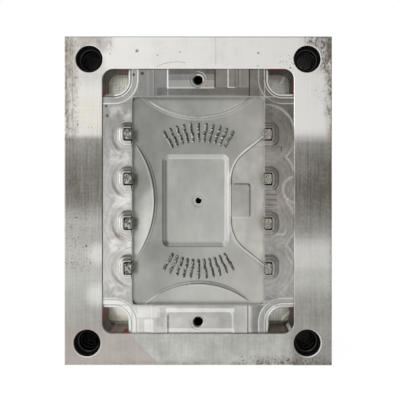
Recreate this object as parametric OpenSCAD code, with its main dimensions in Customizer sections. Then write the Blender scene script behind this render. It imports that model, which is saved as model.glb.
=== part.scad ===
// Fixed half of a two-plate injection mould for a vented box lid, standing on its bottom edge.
// Cavity plate with a pocketed cavity insert, clamp plate behind it, locating ring at the back.
// Mould frame used inside the modules: x to the right, y up, z out of the parting face.
// The front face of the cavity plate is z = 0, and everything behind it is at a negative z.

/* [Plates] */
// Width of both plates
plate_w = 260; // [250:1:320]
// Height of both plates
plate_h = 320; // [310:1:380]
// Thickness of the cavity plate
plate_t = 70; // [68:1:90]
// Thickness of the clamp plate
clamp_t = 25; // [24:1:36]
// Chamfer on the outer edges of the plates
plate_chamfer = 1; // [0.5:0.1:2]
// Width of the pocket that takes the insert
pocket_w = 186; // [182:1:190]
// Height of the pocket that takes the insert
pocket_h = 257; // [253:1:259]
// Depth of the pocket
pocket_depth = 45; // [43:1:47]
// Corner radius of the pocket
pocket_r = 10; // [8:0.5:12]
// Chamfer round the mouth of the pocket
pocket_chamfer = 0.6; // [0.3:0.1:1.2]
// Clearance at each side of a piece that is fitted, not pressed
fit_gap = 0.02; // [0.01:0.01:0.05]

/* [Guide bushes] */
// Distance of the guide holes from the sides of the plate
guide_edge_x = 24; // [23:0.5:26]
// Distance of the guide holes from the top and bottom of the plate
guide_edge_y = 22; // [20:0.5:23]
// Shift of one hole outwards, so that the halves close only one way round
guide_shift = 2; // [0:0.5:3]
// Outer diameter of a bush
bush_od = 26; // [24:0.5:28]
// Bore of a bush
bush_bore = 18; // [14:0.5:20]
// Depth of the bush below the parting face
bush_recess = 6; // [3:0.5:10]
// Diameter of the flange at the back of a bush
bush_flange_d = 32; // [30:0.5:36]
// Thickness of that flange
bush_flange_t = 6; // [4:0.5:8]
// Radius of the lead-in at the mouth of the bore
bush_lead = 2.5; // [1:0.25:3]
// Number of oil grooves in the bore
oil_grooves = 3; // [2:1:4]
// Width of an oil groove
oil_groove_w = 2.5; // [1.5:0.5:4]
// Depth of an oil groove
oil_groove_depth = 0.7; // [0.3:0.1:1]
// Distance between oil grooves
oil_groove_pitch = 9; // [7:0.5:10]

/* [Insert and cavity] */
// Drop of the insert's shut-off strips below the plate face
strip_drop = 1.5; // [0.5:0.25:3]
// Width of the cavity
cavity_w = 129; // [125:0.5:131]
// Height of the cavity
cavity_h = 203; // [199:0.5:205]
// Corner radius of the cavity
cavity_r = 4; // [2:0.5:6]
// Depth of the cavity floor below the strips
cavity_depth = 5; // [4:0.25:8]
// Draft of the cavity wall over its whole depth
cavity_draft = 0.4; // [0.1:0.1:1]
// Chord of the facet at the top edge
top_facet_chord = 104; // [96:1:112]
// Reach of the facet at the top edge
top_facet_reach = 19; // [15:0.5:21]
// Chord of the facet at the bottom edge
bottom_facet_chord = 104; // [96:1:112]
// Reach of the facet at the bottom edge
bottom_facet_reach = 20; // [15:0.5:21]
// Chord of the facet at the left edge
left_facet_chord = 118; // [108:1:124]
// Reach of the facet at the left edge
left_facet_reach = 21; // [16:0.5:24]
// Chord of the flat-nosed facet at the right edge
right_facet_chord = 128; // [120:1:136]
// Reach of the facet at the right edge
right_facet_reach = 33; // [30:0.5:33.5]
// Length of the flat nose of the right facet
right_facet_nose = 40; // [30:1:50]
// Radius that blends the nose into its flanks
right_facet_r = 35; // [28:1:38]
// Height of a facet over the floor at its innermost point
facet_rise = 2; // [1:0.25:3]
// Run of a facet's wall, from its top to its foot
facet_wall_run = 0.9; // [0.3:0.1:1.5]
// Width of the sunk centre panel
panel_w = 65.5; // [60:0.5:66]
// Height of the sunk centre panel
panel_h = 91; // [84:0.5:96]
// Corner radius of the centre panel
panel_r = 3.5; // [2:0.5:6]
// Flat left between the centre panel and the right facet
panel_gap = 0.6; // [0.3:0.1:1.5]
// Depth of the centre panel below the floor
panel_depth = 2.5; // [1:0.25:4]
// Run of the panel's sloping wall
panel_wall_run = 3; // [1:0.1:3.5]
// Width of the label pad on the right facet
label_w = 17; // [12:0.5:18]
// Height of the label pad
label_h = 32; // [24:0.5:36]
// Corner radius of the label pad
label_r = 2; // [1:0.25:4]
// Height of the label pad over the facet
label_rise = 0.6; // [0.3:0.1:1]
// Distance from the nose of the facet to the label pad
label_inset = 1.5; // [1:0.25:3]

/* [Vent ribs] */
// Number of ribs in each fan
vent_count = 11; // [7:1:11]
// Angle between neighbouring ribs
vent_step = 5.2; // [4.8:0.1:5.5]
// Distance from the sprue to the inner ends of the ribs
vent_inner_r = 57.5; // [56:0.5:60]
// Length of a rib
vent_length = 19.5; // [15:0.5:21]
// Width of a rib
vent_w = 2; // [1.5:0.1:2.5]
// Height of the inner half of a rib
vent_inner_rise = 2.4; // [1.5:0.1:2.5]
// Height of the outer half of a rib
vent_outer_rise = 1.7; // [1:0.1:2.2]
// Sideways step between the two halves, away from the middle
vent_jog = 0.9; // [0.3:0.1:1.2]

/* [Corner locks] */
// Width of a corner lock, from the side of the insert
lock_w = 24.5; // [22:0.5:26]
// Height of a corner lock, from the end of the insert
lock_h = 24; // [20:0.5:25]
// Radius of the inner corner of a lock
lock_r = 14; // [8:0.5:16]
// Depth of a lock below the strips
lock_depth = 27; // [20:0.5:32]
// Width of the ledge part way down
lock_ledge = 1.4; // [0.5:0.1:2]
// Depth of that ledge
lock_ledge_depth = 9; // [6:0.5:12]
// Width of the chamfer at the mouth of a lock
lock_lip = 3.2; // [1:0.1:4]
// Width of the sunk border round a lock
lock_border = 9; // [6:0.5:10]
// Depth of that border
lock_border_depth = 1; // [0.5:0.1:2]
// Run of the slope at the outer edge of that border
lock_border_run = 1.2; // [0.5:0.1:2]

/* [Port shut-offs] */
// Number of port shut-offs on each long side
port_count = 4; // [2:1:4]
// Distance between neighbouring ports
port_pitch = 43; // [42:0.5:44]
// Height of the lower step of a shut-off
port_h = 24; // [22:0.5:28]
// Width of the lower step, measured from the cavity
port_w = 14; // [13:0.5:16]
// Corner radius of the lower step
port_r = 8.5; // [5:0.5:9]
// Inset of the upper step from the lower one
port_inset = 3; // [2:0.25:3.5]
// Run of the sloping walls of both steps
port_wall_run = 2.2; // [1:0.1:2.5]
// Rise of the lower step over the strips
port_low_rise = 3; // [2:0.25:5]
// Rise of the upper step over the strips
port_high_rise = 6; // [5.25:0.25:8]
// Height of a former
former_h = 12; // [10:0.5:13]
// Width of a former
former_w = 8.5; // [7:0.5:9]
// Corner radius of a former
former_r = 1; // [0.5:0.25:2]
// Reach of a former into the cavity
former_reach = 1.5; // [1:0.25:2]
// Rise of a former over the strips
former_rise = 9.5; // [8.5:0.5:12]
// Width of the collar round the foot of a former
former_collar = 2; // [1.5:0.25:2.5]
// Thickness of that collar
former_collar_t = 5; // [3:0.5:7]
// Depth of the round milled relief round each port
port_relief_depth = 1; // [0.5:0.1:1.5]
// Radius of that relief on the left side, about a point on the cavity edge
left_relief_r = 21; // [19:0.5:21]
// Radius of that relief on the right side
right_relief_r = 31.5; // [30:0.5:33]
// Number of small ribs between the two middle ports on the right
strip_rib_count = 5; // [3:1:5]
// Distance between those ribs
strip_rib_pitch = 5; // [4:0.25:5]
// Length of those ribs
strip_rib_length = 10; // [6:0.5:12]
// Width of those ribs
strip_rib_w = 1.8; // [1:0.1:2.5]
// Rise of those ribs over the milled relief
strip_rib_rise = 1; // [0.5:0.1:1.5]

/* [Steps in the end strips] */
// Left end of the pad in the top strip
top_pad_left = 29; // [26:0.5:32]
// Right end of the pad in the top strip
top_pad_right = 15.5; // [12:0.5:18]
// Height of the pads, from the end of the insert
end_pad_h = 17.5; // [15:0.5:19]
// Rise of the pad in the top strip
top_pad_rise = 0.8; // [0.3:0.1:1.2]
// Place of the slim bar in the top strip
top_bar_x = 32.5; // [28:0.5:36]
// Width of the slim bar
top_bar_w = 6; // [4:0.5:8]
// Rise of the slim bar
top_bar_rise = 0.6; // [0.3:0.1:1.2]
// Start of the lowered left end of the top strip
top_step_left = 43; // [40:0.5:46]
// Start of the lowered right end of the top strip
top_step_right = 49; // [44:0.5:52]
// Depth of the lowered ends of both end strips
end_step_depth = 0.8; // [0.3:0.1:1.2]
// Left end of the pocket in the bottom strip
bottom_pocket_left = 31; // [28:0.5:34]
// Right end of the pocket in the bottom strip
bottom_pocket_right = 35; // [32:0.5:38]
// Height of that pocket, from the end of the insert
bottom_pocket_h = 24; // [20:0.5:25]
// Corner radius of that pocket
bottom_pocket_r = 8; // [4:0.5:10]
// Depth of that pocket
bottom_pocket_depth = 1; // [0.3:0.1:1.5]
// Run of its sloping walls
bottom_pocket_run = 3; // [1:0.25:3.5]
// Start of the lowered left end of the bottom strip
bottom_step_left = 45; // [42:0.5:48]
// Start of the lowered right end of the bottom strip
bottom_step_right = 47.5; // [44:0.5:50]
// Core diameter of the two tapped lifting holes
lift_hole_d = 8.5; // [6.8:0.1:10.2]
// Depth of the lifting holes
lift_hole_depth = 22; // [18:1:26]
// Distance of the lifting holes from the ends of the insert
lift_hole_edge = 10.5; // [9:0.5:12]
// Chamfer at the mouth of a tapped hole
hole_chamfer = 1.3; // [0.5:0.1:1.5]

/* [Sprue bush and locating ring] */
// Diameter of the locating ring
ring_d = 100; // [90:1:104]
// Height that the locating ring stands proud of the clamp plate
ring_proud = 10; // [8:0.5:13]
// Diameter of the ring's flange, which is let into the clamp plate
ring_flange_d = 110; // [107:1:120]
// Thickness of that flange
ring_seat = 5; // [3:0.5:6]
// Bore of the locating ring
ring_bore = 32; // [28:1:34]
// Diameter of the sprue bush head
sprue_head_d = 38; // [36:1:42]
// Thickness of the sprue bush head
sprue_head_t = 13; // [10:0.5:15]
// Diameter of the sprue bush shank
sprue_shank_d = 12; // [10:0.5:16]
// Sprue diameter at the cavity
sprue_d_front = 6; // [5:0.25:7]
// Sprue diameter at the nozzle
sprue_d_back = 3.5; // [2.5:0.25:4]
// Radius of the nozzle seat
nozzle_r = 20; // [15:0.5:25]
// Depth of the nozzle seat
nozzle_seat = 3; // [2:0.25:4]
// Diameter of the pin that keeps the sprue bush from turning
key_pin_d = 4; // [3:0.5:5]
// Depth of that pin in the head
key_pin_depth = 6; // [4:0.5:8]
// Room between the tip of that pin and the cavity plate
key_pin_room = 1; // [0.5:0.25:2]

/* [Screws] */
// Room behind the tip of a screw and round its head
screw_room = 1; // [0.5:0.25:1.5]
// Thread diameter of the clamp plate screws
clamp_screw_d = 12; // [10:1:14]
// Distance of the clamp plate screws from the middle
clamp_screw_x = 60; // [50:1:70]
// Distance of the clamp plate screws from the ends of the plate
clamp_screw_edge = 14; // [13:0.5:16]
// Length of thread in the cavity plate
clamp_screw_reach = 22; // [16:1:26]
// Thread diameter of the insert screws
insert_screw_d = 10; // [8:1:10]
// Distance of the insert screws from the sides of the insert
insert_screw_edge = 17; // [15:0.5:18]
// Distance of the insert screws from the middle, up and down
insert_screw_y = 82; // [81:0.5:86]
// Length of thread in the insert
insert_screw_reach = 16; // [12:1:20]
// Thread diameter of the locating ring screws
ring_screw_d = 6; // [5:1:6]
// Number of locating ring screws
ring_screw_count = 4; // [2:1:4]
// Circle that the locating ring screws lie on
ring_screw_pcd = 76; // [70:1:80]
// Length of thread in the clamp plate
ring_screw_reach = 9; // [7:0.5:12]
// Core diameter of the lifting eye hole in the top of the plate
eye_hole_d = 14; // [10.2:0.1:17.5]
// Depth of the lifting eye hole
eye_hole_depth = 26; // [22:1:28]

/* [Water channels] */
// Diameter of the channels
channel_d = 8; // [6:0.5:9]
// Distance of the two channels from the middle, up and down
channel_y = 43; // [42:0.5:44]
// Distance of the risers from the middle, left and right
riser_x = 72; // [70:0.5:74]
// Height of the channel over the back of the insert
channel_lift = 15; // [12:0.5:18]
// Core diameter of the threaded water ports
port_thread_d = 11.8; // [10:0.1:12.5]
// Depth of the threaded water ports
port_thread_depth = 15; // [12:0.5:18]
// Mean diameter of a water seal
seal_d = 12.5; // [12:0.25:14]
// Thickness of a water seal
seal_t = 2; // [1.5:0.1:2.4]
// Diameter of the plug that closes the end of a channel
plug_d = 11; // [10:0.5:12]
// Length of that plug
plug_l = 10; // [8:0.5:12]

/* [Hidden] */

$fn = 96;
hull_fn = 32;
eps = 0.01;
over = 1;

// Where the pieces lie, in the mould frame
back_z = -plate_t;
clamp_back_z = -plate_t - clamp_t;
ring_back_z = clamp_back_z - ring_proud;
strip_z = -strip_drop;
floor_z = strip_z - cavity_depth;
panel_z = floor_z - panel_depth;
panel_x = cavity_w / 2 - right_facet_reach - facet_wall_run - panel_gap - panel_w / 2;
insert_back_z = -pocket_depth;
insert_w = pocket_w - 2 * fit_gap;
insert_h = pocket_h - 2 * fit_gap;
insert_r = pocket_r - fit_gap;
guide_x = plate_w / 2 - guide_edge_x;
guide_y = plate_h / 2 - guide_edge_y;
former_top_z = strip_z + former_rise;
port_top_z = strip_z + port_high_rise;
lift_hole_y = insert_h / 2 - lift_hole_edge;
insert_screw_x = insert_w / 2 - insert_screw_edge;
clamp_screw_y = plate_h / 2 - clamp_screw_edge;
channel_z = insert_back_z + channel_lift;
feed_z = (back_z + insert_back_z) / 2;
seal_groove_depth = seal_t + fit_gap;
sprue_head_z = clamp_back_z + ring_seat + sprue_head_t;

// Heads of the socket screws, from their thread diameters
function head_d(d) = 1.5 * d;
function head_h(d) = d;
function socket_d(d) = 0.95 * d;

// The part's own frame: origin under the middle of the box, +z up, parting face to -y
front_y = (ring_back_z + former_top_z) / 2;

module in_part_frame() {
    translate([0, front_y, plate_h / 2]) rotate([90, 0, 0]) children();
}

module mirrored(sx, sy) {
    mirror([sx < 0 ? 1 : 0, 0, 0]) mirror([0, sy < 0 ? 1 : 0, 0]) children();
}

module at_corners() {
    for (sx = [-1, 1]) for (sy = [-1, 1]) mirrored(sx, sy) children();
}

module rounded_rectangle(w, h, r) {
    square([w - 2 * r, h], center = true);
    square([w, h - 2 * r], center = true);
    for (sx = [-1, 1]) for (sy = [-1, 1])
        translate([sx * (w / 2 - r), sy * (h / 2 - r)]) circle(r);
}

// Prism of a 2-D outline from one height to another
module prism(z0, z1) {
    translate([0, 0, z0]) linear_extrude(z1 - z0) children();
}

module box(x0, x1, y0, y1, z0, z1) {
    translate([x0, y0, z0]) cube([x1 - x0, y1 - y0, z1 - z0]);
}

module round_hole(x, y, d, z0, z1) {
    translate([x, y, z0]) cylinder(d = d, h = z1 - z0);
}

// Hole with a chamfered mouth at z1, where it opens upwards
module tapped_hole(x, y, d, z0, z1) {
    round_hole(x, y, d, z0, z1 + over);
    translate([x, y, z1 - hole_chamfer])
        cylinder(d1 = d, d2 = d + 2 * (hole_chamfer + over), h = hole_chamfer + over);
}

// Block with chamfered edges round its two large faces
module chamfered_plate(w, h, z0, z1, c) {
    rise = z1 - z0;
    translate([0, 0, z0]) intersection() {
        linear_extrude(rise) square([w, h], center = true);
        rotate([90, 0, 0]) linear_extrude(h + over, center = true)
            plate_section(w, rise, c);
        rotate([90, 0, 90]) linear_extrude(w + over, center = true)
            plate_section(h, rise, c);
    }
}

module plate_section(w, rise, c) {
    polygon([[-w / 2 + c, 0], [w / 2 - c, 0], [w / 2, c], [w / 2, rise - c],
             [w / 2 - c, rise], [-w / 2 + c, rise], [-w / 2, rise - c], [-w / 2, c]]);
}

// Places of the four guide holes, each with its sign left or right and up or down
function guide_place(sx, sy) =
    [sx * guide_x - (sx < 0 && sy < 0 ? guide_shift : 0), sy * guide_y];

function port_y(i) = ((port_count + 1) / 2 - i) * port_pitch;

// Radius of a circle from a chord and how far the arc reaches from it
function arc_r(chord, reach) = (chord * chord / 4 + reach * reach) / (2 * reach);

module cavity_plate() {
    color([0.66, 0.65, 0.63]) in_part_frame() difference() {
        chamfered_plate(plate_w, plate_h, back_z, 0, plate_chamfer);
        prism(insert_back_z, over) rounded_rectangle(pocket_w, pocket_h, pocket_r);
        tapered_box(pocket_w + 2 * (pocket_chamfer + over), pocket_h + 2 * (pocket_chamfer + over),
                    pocket_r, -pocket_chamfer, pocket_chamfer + over, pocket_chamfer + over);
        for (sx = [-1, 1]) for (sy = [-1, 1]) guide_hole(guide_place(sx, sy));
        round_hole(0, 0, sprue_shank_d + 2 * fit_gap, back_z - over, over);
        at_corners() {
            insert_screw_clearance();
            round_hole(clamp_screw_x, clamp_screw_y, clamp_screw_d + 2 * fit_gap,
                       back_z - over, back_z + clamp_screw_reach + screw_room);
            water_feed();
        }
        translate([0, plate_h / 2, back_z / 2]) rotate([-90, 0, 0])
            tapped_hole(0, 0, eye_hole_d, -eye_hole_depth, 0);
    }
}

module guide_hole(place) {
    hole_d = bush_od + 2 * fit_gap;
    round_hole(place[0], place[1], hole_d, back_z - over, over);
    round_hole(place[0], place[1], bush_flange_d + 2 * fit_gap,
               back_z - over, back_z + bush_flange_t);
    translate([place[0], place[1], -plate_chamfer / 2])
        cylinder(d1 = hole_d, d2 = hole_d + plate_chamfer + 2 * over, h = plate_chamfer / 2 + over);
}

module insert_screw_clearance() {
    round_hole(insert_screw_x, insert_screw_y, insert_screw_d + screw_room,
               back_z - over, over);
    round_hole(insert_screw_x, insert_screw_y, head_d(insert_screw_d) + screw_room,
               back_z - over, back_z + head_h(insert_screw_d) + screw_room);
}

// Water way in the plate: threaded port in the side, drilling, riser and seal groove
module water_feed() {
    translate([plate_w / 2, channel_y, feed_z]) rotate([0, 90, 0]) {
        round_hole(0, 0, channel_d, riser_x - plate_w / 2, 0);
        tapped_hole(0, 0, port_thread_d, -port_thread_depth, 0);
    }
    round_hole(riser_x, channel_y, channel_d, feed_z, insert_back_z + over);
    translate([riser_x, channel_y, insert_back_z - seal_groove_depth])
        difference() {
            cylinder(d = seal_d + seal_t + 2 * fit_gap, h = seal_groove_depth + over);
            translate([0, 0, -over])
                cylinder(d = seal_d - seal_t - 2 * fit_gap, h = seal_groove_depth + 3 * over);
        }
}

module clamp_plate() {
    color([0.60, 0.60, 0.59]) in_part_frame() difference() {
        chamfered_plate(plate_w, plate_h, clamp_back_z, back_z, plate_chamfer);
        round_hole(0, 0, sprue_shank_d + 2 * fit_gap, clamp_back_z - over, over);
        round_hole(0, 0, sprue_head_d + 2 * fit_gap, clamp_back_z - over, sprue_head_z);
        round_hole(0, 0, ring_flange_d + 2 * fit_gap,
                   clamp_back_z - over, clamp_back_z + ring_seat);
        round_hole(key_pin_x(), 0, key_pin_d + 2 * fit_gap, sprue_head_z - over, back_z + over);
        at_corners() {
            round_hole(clamp_screw_x, clamp_screw_y, clamp_screw_d + screw_room,
                       clamp_back_z - over, over);
            round_hole(clamp_screw_x, clamp_screw_y, head_d(clamp_screw_d) + screw_room,
                       clamp_back_z - over, clamp_back_z + head_h(clamp_screw_d) + screw_room);
        }
        for (i = [0 : ring_screw_count - 1]) rotate(45 + i * 360 / ring_screw_count)
            round_hole(ring_screw_pcd / 2, 0, ring_screw_d + 2 * fit_gap,
                       clamp_back_z - over,
                       clamp_back_z + ring_seat + ring_screw_reach + screw_room);
    }
}

module guide_bush(place) {
    front_z = -bush_recess;
    color([0.30, 0.30, 0.29]) in_part_frame() translate([place[0], place[1], 0])
        rotate_extrude() difference() {
            union() {
                bush_half_section(bush_bore / 2, bush_od / 2, back_z, front_z);
                bush_half_section(bush_bore / 2, bush_flange_d / 2,
                                  back_z, back_z + bush_flange_t);
            }
            bush_lead_section(front_z);
            for (i = [0 : oil_grooves - 1])
                bush_half_section(bush_bore / 2 - over, bush_bore / 2 + oil_groove_depth,
                                  oil_groove_z(i), oil_groove_z(i) + oil_groove_w);
        }
}

function oil_groove_z(i) = -bush_recess - (i + 1) * oil_groove_pitch;

module bush_half_section(r0, r1, z0, z1) {
    translate([r0, z0]) square([r1 - r0, z1 - z0]);
}

// Rounded lead-in: the square at the mouth less the quarter circle that is left standing
module bush_lead_section(front_z) {
    translate([bush_bore / 2, front_z]) difference() {
        translate([-over, -bush_lead]) square([bush_lead + over, bush_lead + over]);
        translate([bush_lead, -bush_lead]) circle(bush_lead);
    }
}

module cavity_insert() {
    color([0.70, 0.71, 0.70]) in_part_frame() difference() {
        union() {
            insert_body();
            for (side = [-1, 1]) for (i = [1 : port_count]) port_steps(side, i);
        }
        cavity_void();
        for (side = [-1, 1]) for (i = [1 : port_count]) former_seat(side, i);
        for (sy = [-1, 1])
            tapped_hole(0, sy * lift_hole_y, lift_hole_d, strip_z - lift_hole_depth,
                        strip_z + (sy > 0 ? top_pad_rise : -bottom_pocket_depth));
        round_hole(0, 0, sprue_shank_d + 2 * fit_gap, insert_back_z - over, over);
        at_corners() round_hole(insert_screw_x, insert_screw_y, insert_screw_d + 2 * fit_gap,
                                insert_back_z - over,
                                insert_back_z + insert_screw_reach + screw_room);
        for (sy = [-1, 1]) insert_channel(sy * channel_y);
    }
}

// Block of the insert with its strips, corner locks, reliefs and pads
module insert_body() {
    difference() {
        prism(insert_back_z, strip_z) rounded_rectangle(insert_w, insert_h, insert_r);
        at_corners() corner_lock();
        for (side = [-1, 1]) for (i = [1 : port_count]) port_relief(side, i);
        top_strip_cuts();
        bottom_strip_cuts();
    }
    top_strip_pads();
    strip_ribs();
}

// Square corner with a rounded inner angle, reaching past the ends of the insert
module lock_outline(grow) {
    x0 = insert_w / 2 - lock_w - grow;
    y0 = insert_h / 2 - lock_h - grow;
    r = lock_r + grow;
    translate([x0 + r, y0]) square([lock_w + grow - r + over, lock_h + grow + over]);
    translate([x0, y0 + r]) square([lock_w + grow + over, lock_h + grow - r + over]);
    translate([x0 + r, y0 + r]) circle(r);
}

module corner_lock() {
    lip_z = strip_z - lock_border_depth;
    prism(strip_z - lock_depth, over) lock_outline(-lock_ledge);
    prism(strip_z - lock_ledge_depth, over) lock_outline(0);
    prism(lip_z, over) lock_outline(lock_border);
    lock_slope(0, lip_z - lock_lip, lip_z, lock_lip);
    lock_slope(lock_border, lip_z, strip_z, lock_border_run);
}

// Slope that widens a lock outline by run from z0 to z1: a cone round the inner angle
// and a wedge along each side
module lock_slope(grow, z0, z1, run) {
    x0 = insert_w / 2 - lock_w - grow;
    y0 = insert_h / 2 - lock_h - grow;
    r = lock_r + grow;
    rise = z1 - z0 + over;
    run_all = run * rise / (z1 - z0);
    wedge = [[0, 0], [r, 0], [r, rise], [-run_all, rise]];
    intersection() {
        translate([x0 + r, y0 + r, z0]) cylinder(r1 = r, r2 = r + run_all, h = rise);
        box(0, x0 + r, 0, y0 + r, z0 - over, z1 + 2 * over);
    }
    translate([x0, insert_h / 2 + over, z0]) rotate([90, 0, 0])
        linear_extrude(lock_h + over - lock_r) polygon(wedge);
    translate([insert_w / 2 + over, y0, z0]) rotate([90, 0, -90])
        linear_extrude(lock_w + over - lock_r) mirror([1, 0, 0]) polygon(wedge);
}

module port_relief(side, i) {
    r = side < 0 ? left_relief_r : right_relief_r;
    round_hole(side * cavity_w / 2, port_y(i), 2 * r, strip_z - port_relief_depth, over);
}

// Two steps with sloping walls, one on the other, centred on the cavity edge. The cavity cuts
// away their inner halves.
module port_steps(side, i) {
    relief_z = strip_z - port_relief_depth;
    translate([side * cavity_w / 2, port_y(i), 0]) {
        raised_step(0, relief_z, strip_z + port_low_rise);
        raised_step(port_inset, strip_z + port_low_rise, strip_z + port_high_rise);
    }
}

module raised_step(inset, z0, z1) {
    translate([0, 0, z1]) mirror([0, 0, 1])
        tapered_box(2 * (port_w - inset), port_h - 2 * inset,
                    port_r - inset / 2 - port_wall_run, 0, port_wall_run, z1 - z0);
}

// Small ribs on the right strip, between the two middle ports
module strip_ribs() {
    low_z = strip_z - port_relief_depth;
    for (i = [0 : strip_rib_count - 1])
        translate([0, (i - (strip_rib_count - 1) / 2) * strip_rib_pitch, 0])
            box(cavity_w / 2 - over, cavity_w / 2 + strip_rib_length,
                -strip_rib_w / 2, strip_rib_w / 2, low_z - over, low_z + strip_rib_rise);
}

module top_strip_cuts() {
    low_z = strip_z - end_step_depth;
    border_x = insert_w / 2 - lock_w - lock_border;
    inner_y = cavity_h / 2 - over;
    top_y = insert_h / 2 + over;
    box(-border_x - lock_r, -top_step_left, inner_y, top_y, low_z, over);
    box(top_step_right, border_x + lock_r, inner_y, top_y, low_z, over);
    box(-top_step_left - over, -top_pad_left, inner_y, top_y,
        strip_z - end_step_depth / 2, over);
}

module top_strip_pads() {
    top_y = insert_h / 2;
    box(-top_pad_left, top_pad_right, top_y - end_pad_h, top_y,
        strip_z - over, strip_z + top_pad_rise);
    box(top_bar_x - top_bar_w / 2, top_bar_x + top_bar_w / 2, top_y - end_pad_h, top_y,
        strip_z - over, strip_z + top_bar_rise);
    box(top_bar_x, top_bar_x + top_bar_w, top_y - end_pad_h, top_y,
        strip_z - over, strip_z + top_bar_rise / 2);
}

module bottom_strip_cuts() {
    low_z = strip_z - end_step_depth;
    border_x = insert_w / 2 - lock_w - lock_border;
    inner_y = -cavity_h / 2 + over;
    bottom_y = -insert_h / 2 - over;
    pocket_w_all = bottom_pocket_left + bottom_pocket_right;
    box(-border_x - lock_r, -bottom_step_left, bottom_y, inner_y, low_z, over);
    box(bottom_step_right, border_x + lock_r, bottom_y, inner_y, low_z, over);
    lean = bottom_pocket_run * over / bottom_pocket_depth;
    translate([(bottom_pocket_right - bottom_pocket_left) / 2, -insert_h / 2, 0])
        tapered_box(pocket_w_all + 2 * lean, 2 * (bottom_pocket_h + lean),
                    bottom_pocket_r - bottom_pocket_run, strip_z - bottom_pocket_depth,
                    bottom_pocket_run + lean, bottom_pocket_depth + over);
}

// Everything that is air inside the cavity outline. The drafted wall has its stated size
// at the strips, and keeps leaning outwards up the faces of the port steps.
module cavity_void() {
    wall_lean = cavity_draft * (port_high_rise + over) / cavity_depth;
    difference() {
        tapered_box(cavity_w + 2 * wall_lean, cavity_h + 2 * wall_lean, cavity_r,
                    floor_z, cavity_draft + wall_lean, port_top_z + over - floor_z);
        round_facet(90, cavity_h / 2, top_facet_chord, top_facet_reach);
        round_facet(-90, cavity_h / 2, bottom_facet_chord, bottom_facet_reach);
        round_facet(180, cavity_w / 2, left_facet_chord, left_facet_reach);
        right_facet();
        vent_fans();
    }
    translate([panel_x, 0, 0])
        tapered_box(panel_w, panel_h, panel_r, panel_z, panel_wall_run, panel_depth + eps);
}

// Rounded box of width w and height h at its top, narrower by run at each side at its foot z0,
// where its corner radius is r
module tapered_box(w, h, r, z0, run, rise) {
    corner = r + run;
    translate([0, 0, z0]) {
        rotate([90, 0, 0]) linear_extrude(h - 2 * corner, center = true)
            polygon(trapezoid(w / 2, run, rise));
        rotate([90, 0, 90]) linear_extrude(w - 2 * corner, center = true)
            polygon(trapezoid(h / 2, run, rise));
        for (sx = [-1, 1]) for (sy = [-1, 1])
            translate([sx * (w / 2 - corner), sy * (h / 2 - corner), 0])
                cylinder(r1 = r, r2 = corner, h = rise);
    }
}

function trapezoid(half, run, rise) =
    [[run - half, 0], [half - run, 0], [half, rise], [-half, rise]];

// Slab under the plane that climbs from the cavity edge to the innermost point of a facet.
// Its frame has +x pointing outwards, with the cavity edge at x = edge.
module facet_slab(edge, reach, chord, lift) {
    slope = facet_rise / reach;
    run = reach + 2 * over;
    rotate([90, 0, 0]) linear_extrude(chord + 4 * over, center = true)
        polygon([[edge + over, floor_z - over],
                 [edge + over, floor_z - slope * over + lift],
                 [edge - run, floor_z + slope * run + lift],
                 [edge - run, floor_z - over]]);
}

module round_facet(angle, edge, chord, reach) {
    r = arc_r(chord, reach);
    lean = facet_wall_run / facet_rise;
    rotate(angle) intersection() {
        facet_slab(edge, reach, chord, 0);
        translate([edge - reach + r, 0, floor_z - over])
            cylinder(r1 = r + facet_wall_run + lean * over, r2 = r - lean * over,
                     h = facet_rise + 2 * over);
    }
}

module right_facet() {
    edge = cavity_w / 2;
    nose_x = edge - right_facet_reach;
    intersection() {
        union() {
            facet_slab(edge, right_facet_reach, right_facet_chord, 0);
            intersection() {
                facet_slab(edge, right_facet_reach, right_facet_chord, label_rise);
                prism(floor_z - over, over)
                    translate([nose_x + label_inset + label_w / 2, 0])
                        rounded_rectangle(label_w, label_h, label_r);
            }
        }
        hull() {
            for (s = [-1, 1]) {
                translate([nose_x + right_facet_r, s * right_facet_nose / 2, floor_z - over])
                    cylinder(r1 = right_facet_r + facet_wall_run, r2 = right_facet_r,
                             h = facet_rise + over + label_rise, $fn = 3 * hull_fn);
                translate([edge + over, s * right_facet_chord / 2, floor_z - over])
                    cylinder(r = facet_wall_run, h = facet_rise + over + label_rise, $fn = hull_fn);
            }
        }
    }
}

// Two fans of ribs, spread evenly about the middle above and below the panel
module vent_fans() {
    middle = (vent_count - 1) / 2;
    half = (vent_length + vent_w) / 2;
    for (up = [90, -90]) for (i = [0 : vent_count - 1])
        rotate(up + (i - middle) * vent_step) {
            prism(floor_z - over, floor_z + vent_inner_rise)
                translate([vent_inner_r, 0]) rib_outline(half);
            prism(floor_z - over, floor_z + vent_outer_rise)
                translate([vent_inner_r + vent_length - half, sign(i - middle) * vent_jog])
                    rib_outline(half);
        }
}

module rib_outline(length) {
    translate([vent_w / 2, -vent_w / 2]) square([length - vent_w, vent_w]);
    for (x = [vent_w / 2, length - vent_w / 2]) translate([x, 0]) circle(d = vent_w);
}

// Water way in the insert: two risers joined by a cross drilling with a plugged end
module insert_channel(y) {
    end_x = insert_w / 2;
    translate([0, y, channel_z]) rotate([0, 90, 0]) {
        round_hole(0, 0, channel_d, -end_x - over, riser_x + channel_d / 2);
        round_hole(0, 0, plug_d + 2 * fit_gap, -end_x - over, plug_l - end_x);
    }
    for (s = [-1, 1])
        round_hole(s * riser_x, y, channel_d, insert_back_z - over, channel_z);
}

module former_outline(side, i, grow) {
    edge = cavity_w / 2 - former_reach;
    translate([side * (edge + former_w / 2), port_y(i)])
        rounded_rectangle(former_w + 2 * grow, former_h + 2 * grow, former_r + max(grow, 0));
}

// Slot for a former, with the recess for its collar at the back of the insert
module former_seat(side, i) {
    prism(insert_back_z - over, former_top_z) former_outline(side, i, fit_gap);
    prism(insert_back_z - over, insert_back_z + former_collar_t)
        former_outline(side, i, former_collar + fit_gap);
}

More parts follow.
